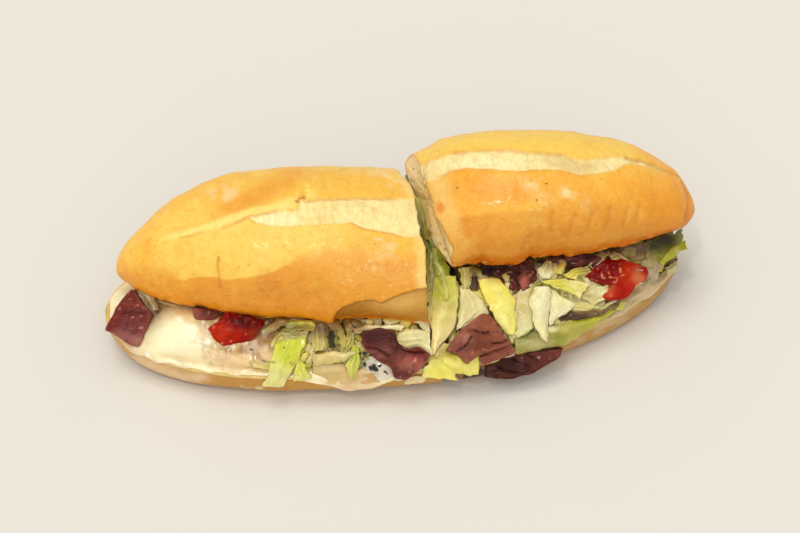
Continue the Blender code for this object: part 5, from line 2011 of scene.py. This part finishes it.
SLABS = {
    "beef_tip": (
        Slab(
            (
                (132, 288), (137, 295), (142, 304), (151, 312), (149, 319), (147, 328), (143, 337), (138, 347),
                (131, 345), (122, 339), (114, 335), (105, 330), (110, 319), (116, 307), (124, 297),
            ),
            (118, 42, 34), MAUVE, 6, 8, 34, -10, side=(160, 116, 110), streaks=0.3,
            marks=(
                (128, 300, 14, 12, (126, 54, 36), 0.7), (134, 312, 12, 3, (72, 26, 20), 0.6),
                (132, 330, 15, 11, (140, 84, 96), 0.7), (122, 336, 10, 6, (184, 140, 142), 0.6),
                (137, 342, 7, 6, (196, 160, 162), 0.6),
            ),
            painted_glints=0.6, seed=61,
        ),
    ),
    "beef_bit": (
        Slab(
            ((194, 307), (224, 311), (215, 320), (204, 324), (197, 322), (193, 315)), (176, 112, 104), MAUVE, 4, 5,
            marks=((214, 310, 10, 5, (90, 44, 36), 0.8),), painted_glints=0.4, seed=62,
        ),
    ),
    "beef_middle": (
        Slab(
            (
                (362, 332), (380, 328), (396, 331), (398, 343), (410, 349), (420, 347), (431, 354), (427, 363),
                (421, 369), (406, 381), (395, 378), (390, 366), (372, 357), (362, 345),
            ),
            (104, 54, 46), MAUVE, 6, 9, streaks=0.45, side=(150, 92, 88),
            marks=(
                (376, 336, 20, 9, (70, 28, 26), 0.85), (386, 352, 16, 7, (140, 98, 92), 0.5),
                (418, 356, 12, 7, (120, 48, 60), 0.7), (412, 364, 14, 7, (206, 146, 140), 0.6),
                (396, 344, 8, 8, (80, 32, 36), 0.6),
            ),
            cuts=(((366, 347), (378, 350), (389, 356)), ((398, 346), (408, 352), (424, 352))), painted_glints=0.5, seed=63,
        ),
    ),
    "beef_front": (
        Slab(
            (
                (464, 327), (482, 314), (491, 316), (501, 330), (511, 344), (492, 350), (479, 355), (469, 363),
                (460, 354), (447, 350), (453, 339),
            ),
            (154, 104, 80), (164, 118, 98), 10, 5.5, 32, 6, side=(172, 122, 114), streaks=0.2,
            marks=(
                (457, 348, 12, 9, (168, 112, 106), 0.75), (480, 346, 18, 6, (106, 62, 46), 0.6),
                (484, 322, 14, 8, (150, 104, 82), 0.6), (466, 338, 6, 5, (196, 150, 146), 0.6),
            ),
            cuts=(
                ((474, 330), (482, 333), (490, 332)), ((493, 344), (502, 343), (511, 338)),
                ((458, 352), (466, 345), (472, 337)),
            ),
            painted_glints=0.2, seed=64,
        ),
        Slab(
            ((479, 358), (494, 350), (509, 344), (514, 349), (511, 354), (483, 365)), (152, 102, 88), MAUVE, 8, 4,
            side=(176, 122, 112), seed=65,
        ),
    ),
    "beef_low": (
        Slab(
            (
                (484, 364), (499, 356), (514, 353), (537, 352), (565, 347), (560, 357), (537, 371), (514, 379),
                (496, 379), (486, 378),
            ),
            (82, 44, 30), (150, 92, 78), 4, 8, streaks=0.4,
            # The last mark, a tiny pale dot, is a painted highlight.
            marks=(
                (505, 368, 20, 9, (54, 26, 16), 0.7), (550, 356, 18, 8, (124, 72, 72), 0.7),
                (538, 358, 1.2, 1.2, (240, 225, 220), 0.9),
            ),
            cuts=(((512, 358), (520, 364), (528, 366)), ((496, 366), (508, 372), (520, 373)), ((528, 354), (536, 360))),
            painted_glints=0.25, seed=66,
        ),
    ),
    "beef_back": (
        Slab(
            (
                (482, 266), (502, 261), (520, 262), (533, 258), (539, 272), (534, 286), (528, 297), (521, 289),
                (514, 290), (502, 285), (498, 278), (482, 275),
            ),
            (96, 48, 32), (190, 122, 112), 3, 6, roughness=1.4, streaks=0.3, turn=70, side=(112, 62, 52),
            marks=(
                (492, 268, 26, 11, (46, 18, 10), 0.95), (512, 278, 13, 8, (104, 52, 44), 0.6),
                (515, 275, 8, 6, (70, 34, 22), 0.7), (524, 286, 4.5, 12, (206, 140, 134), 0.9),
            ),
            cuts=(((500, 262), (508, 272), (520, 274)), ((516, 280), (520, 288))), painted_glints=0.3, seed=67,
        ),
    ),
    "beef_edge": (
        Slab(
            ((538, 262), (560, 256), (592, 254), (604, 258), (590, 270), (565, 269)), (84, 40, 32), MAUVE, 1, 5,
            seed=68,
        ),
    ),
}
TOMATOES = {
    "tomato_left": (
        Slab(
            (
                (226, 312), (238, 314), (252, 318), (263, 322), (260, 334), (252, 341), (241, 345), (230, 348),
                (222, 346), (215, 338), (208, 328), (217, 321),
            ),
            (200, 30, 8), (224, 76, 36), 5, 7, crown=2.4, roughness=1, streaks=0.25, wet=0.7,
            # Among these marks, the small pale pink dots are painted highlights.
            marks=(
                (246, 320, 16, 9, (120, 8, 4), 0.85), (257, 334, 9, 8, (176, 100, 80), 0.75),
                (219, 332, 12, 9, (252, 88, 8), 0.9), (236, 336, 10, 6, (226, 60, 14), 0.6),
                (222, 343, 1.4, 1.2, (255, 210, 200), 0.9), (231, 342, 1.2, 1, (255, 210, 200), 0.9),
                (214, 328, 1, 1.6, (255, 200, 170), 0.8), (246, 334, 1.2, 1.6, (244, 176, 156), 0.8),
                (228, 329, 5, 2, (226, 120, 100), 0.5),
            ),
            painted_glints=0.5, seed=71,
        ),
    ),
    "tomato_right": (
        Slab(
            (
                (603, 259), (619, 258), (635, 263), (646, 267), (649, 272), (645, 280), (636, 285), (632, 292),
                (624, 298), (609, 301), (603, 297), (611, 290), (608, 284), (594, 283), (585, 277), (594, 267),
            ),
            (212, 44, 20), (226, 84, 50), 7, 7, 40, 8, crown=2.2, roughness=1.1, streaks=0.25, wet=0.6,
            # Among these marks, the small pale pink dots are painted highlights.
            marks=(
                (606, 271, 25, 14, (140, 4, 2), 0.9), (630, 275, 9, 12, (226, 88, 26), 0.8),
                (639, 276, 6, 9, (250, 206, 186), 0.85), (646, 268, 6, 8, (186, 40, 36), 0.7),
                (609, 290, 7, 6, (236, 160, 140), 0.7), (622, 293, 8, 6, (216, 52, 20), 0.6),
                (602, 275, 1, 2.4, (255, 236, 230), 1), (604, 278, 1.6, 1, (255, 226, 220), 0.9),
                (611, 277, 1.6, 1.2, (255, 226, 220), 0.9), (620, 270, 1, 3, (255, 230, 224), 1),
                (622, 275, 1.6, 1, (255, 226, 220), 0.9), (615, 282, 1.8, 1.2, (255, 216, 206), 0.9),
                (597, 281, 1.2, 1, (255, 220, 210), 0.8), (609, 273, 1, 1.6, (255, 216, 206), 0.7),
                (611, 296, 1.2, 1.2, (255, 210, 200), 0.8), (592, 279, 1.4, 1, (240, 180, 176), 0.7),
                (617, 278, 1, 1.2, (255, 216, 206), 0.7),
            ),
            painted_glints=0.8, seed=72,
        ),
    ),
}


def toppings() -> None:
    """The cut pieces that show, each standing for its CAD node, and the loose leaves round them."""
    groups = [(f"{node}_cut", MEAT, slabs, (node,)) for node, slabs in SLABS.items()]
    groups += [(f"{node}_cut", FLESH, slabs, (node,)) for node, slabs in TOMATOES.items()]
    groups += [(f"{node}_blade", LEAF, (leaf,), (node,)) for node, leaf in NODE_LEAVES.items()]
    groups += [("loose_leaves_and_shade_left", LEAF, LEFT_LEAVES_AND_SHADE_SHEETS, ()), ("loose_leaves_and_shade_right", LEAF, RIGHT_LEAVES_AND_SHADE_SHEETS, ())]
    groups += [("sauce_pours", SAUCE, POURS, ()), ("pepper", SPECK, PEPPER, ())]
    for name, finish, toppers, nodes in groups:
        skin = Skin()
        for topper in toppers:
            topper.add(skin)
        skin.piece(name, finish, *nodes)


def main() -> None:
    """Builds the sandwich piece by piece, then the studio."""
    logging.basicConfig(level=logging.INFO, format="%(message)s")
    LENS.build()
    Studio().build()
    for bread in (LEFT_LID, RIGHT_LID, LEFT_HEEL, RIGHT_HEEL):
        bread.build()
    LEFT_SAUCE.build()
    RIGHT_SAUCE.build()
    LEFT_FILLING.build(110, (0.01, 0.47))
    RIGHT_FILLING.build(120, (0.01, 0.68))
    toppings()


@dataclass(frozen=True)
class Studio:
    """A plain pale floor and soft light."""

    floor: Colour = seen(225, 219, 207)

    def build(self) -> None:
        """Floor, world light and four wide lamps."""
        mesh = bpy.data.meshes.new("floor")
        mesh.from_pydata([(-3, -3, 0), (3, -3, 0), (3, 3, 0), (-3, 3, 0)], [], [(0, 1, 2, 3)])
        obj = bpy.data.objects.new("floor", mesh)
        bpy.context.scene.collection.objects.link(obj)
        material = bpy.data.materials.new("pale floor")
        bench = Bench(material)
        cloud = bench.noise(bench.place(), 400)
        bench.feed(Base_Color=bench.blend(cloud * 0.02, (*self.floor, 1), (*seen(230, 222, 206), 1)))
        bench.shader.inputs["Roughness"].default_value = 0.9
        bench.shader.inputs["Specular IOR Level"].default_value = 0.1
        mesh.materials.append(material)
        world = bpy.data.worlds.new("studio")
        world.use_nodes = True
        world.node_tree.nodes["Background"].inputs[0].default_value = (0.975, 0.99, 1.02, 1)
        world.node_tree.nodes["Background"].inputs[1].default_value = 0.63
        bpy.context.scene.world = world
        bpy.context.scene.view_settings.view_transform = "Standard"
        for name, toward, energy, width in (
            ("key", (0.2, -0.15, -1), 0.9, 32), ("front", (0.1, 0.9, -0.75), 0.6, 60),
            ("left", (0.9, 0.2, -0.45), 0.15, 60), ("glint", (0.3, 0.35, -1), 0.35, 4),
        ):
            lamp = bpy.data.lights.new(name, "SUN")
            lamp.energy, lamp.angle, lamp.color = energy, math.radians(width), (1, 0.985, 0.95)
            sun = bpy.data.objects.new(name, lamp)
            sun.rotation_mode = "QUATERNION"
            sun.rotation_quaternion = Vector(toward).to_track_quat("-Z", "Y")
            bpy.context.scene.collection.objects.link(sun)


if __name__ == "__main__":
    main()
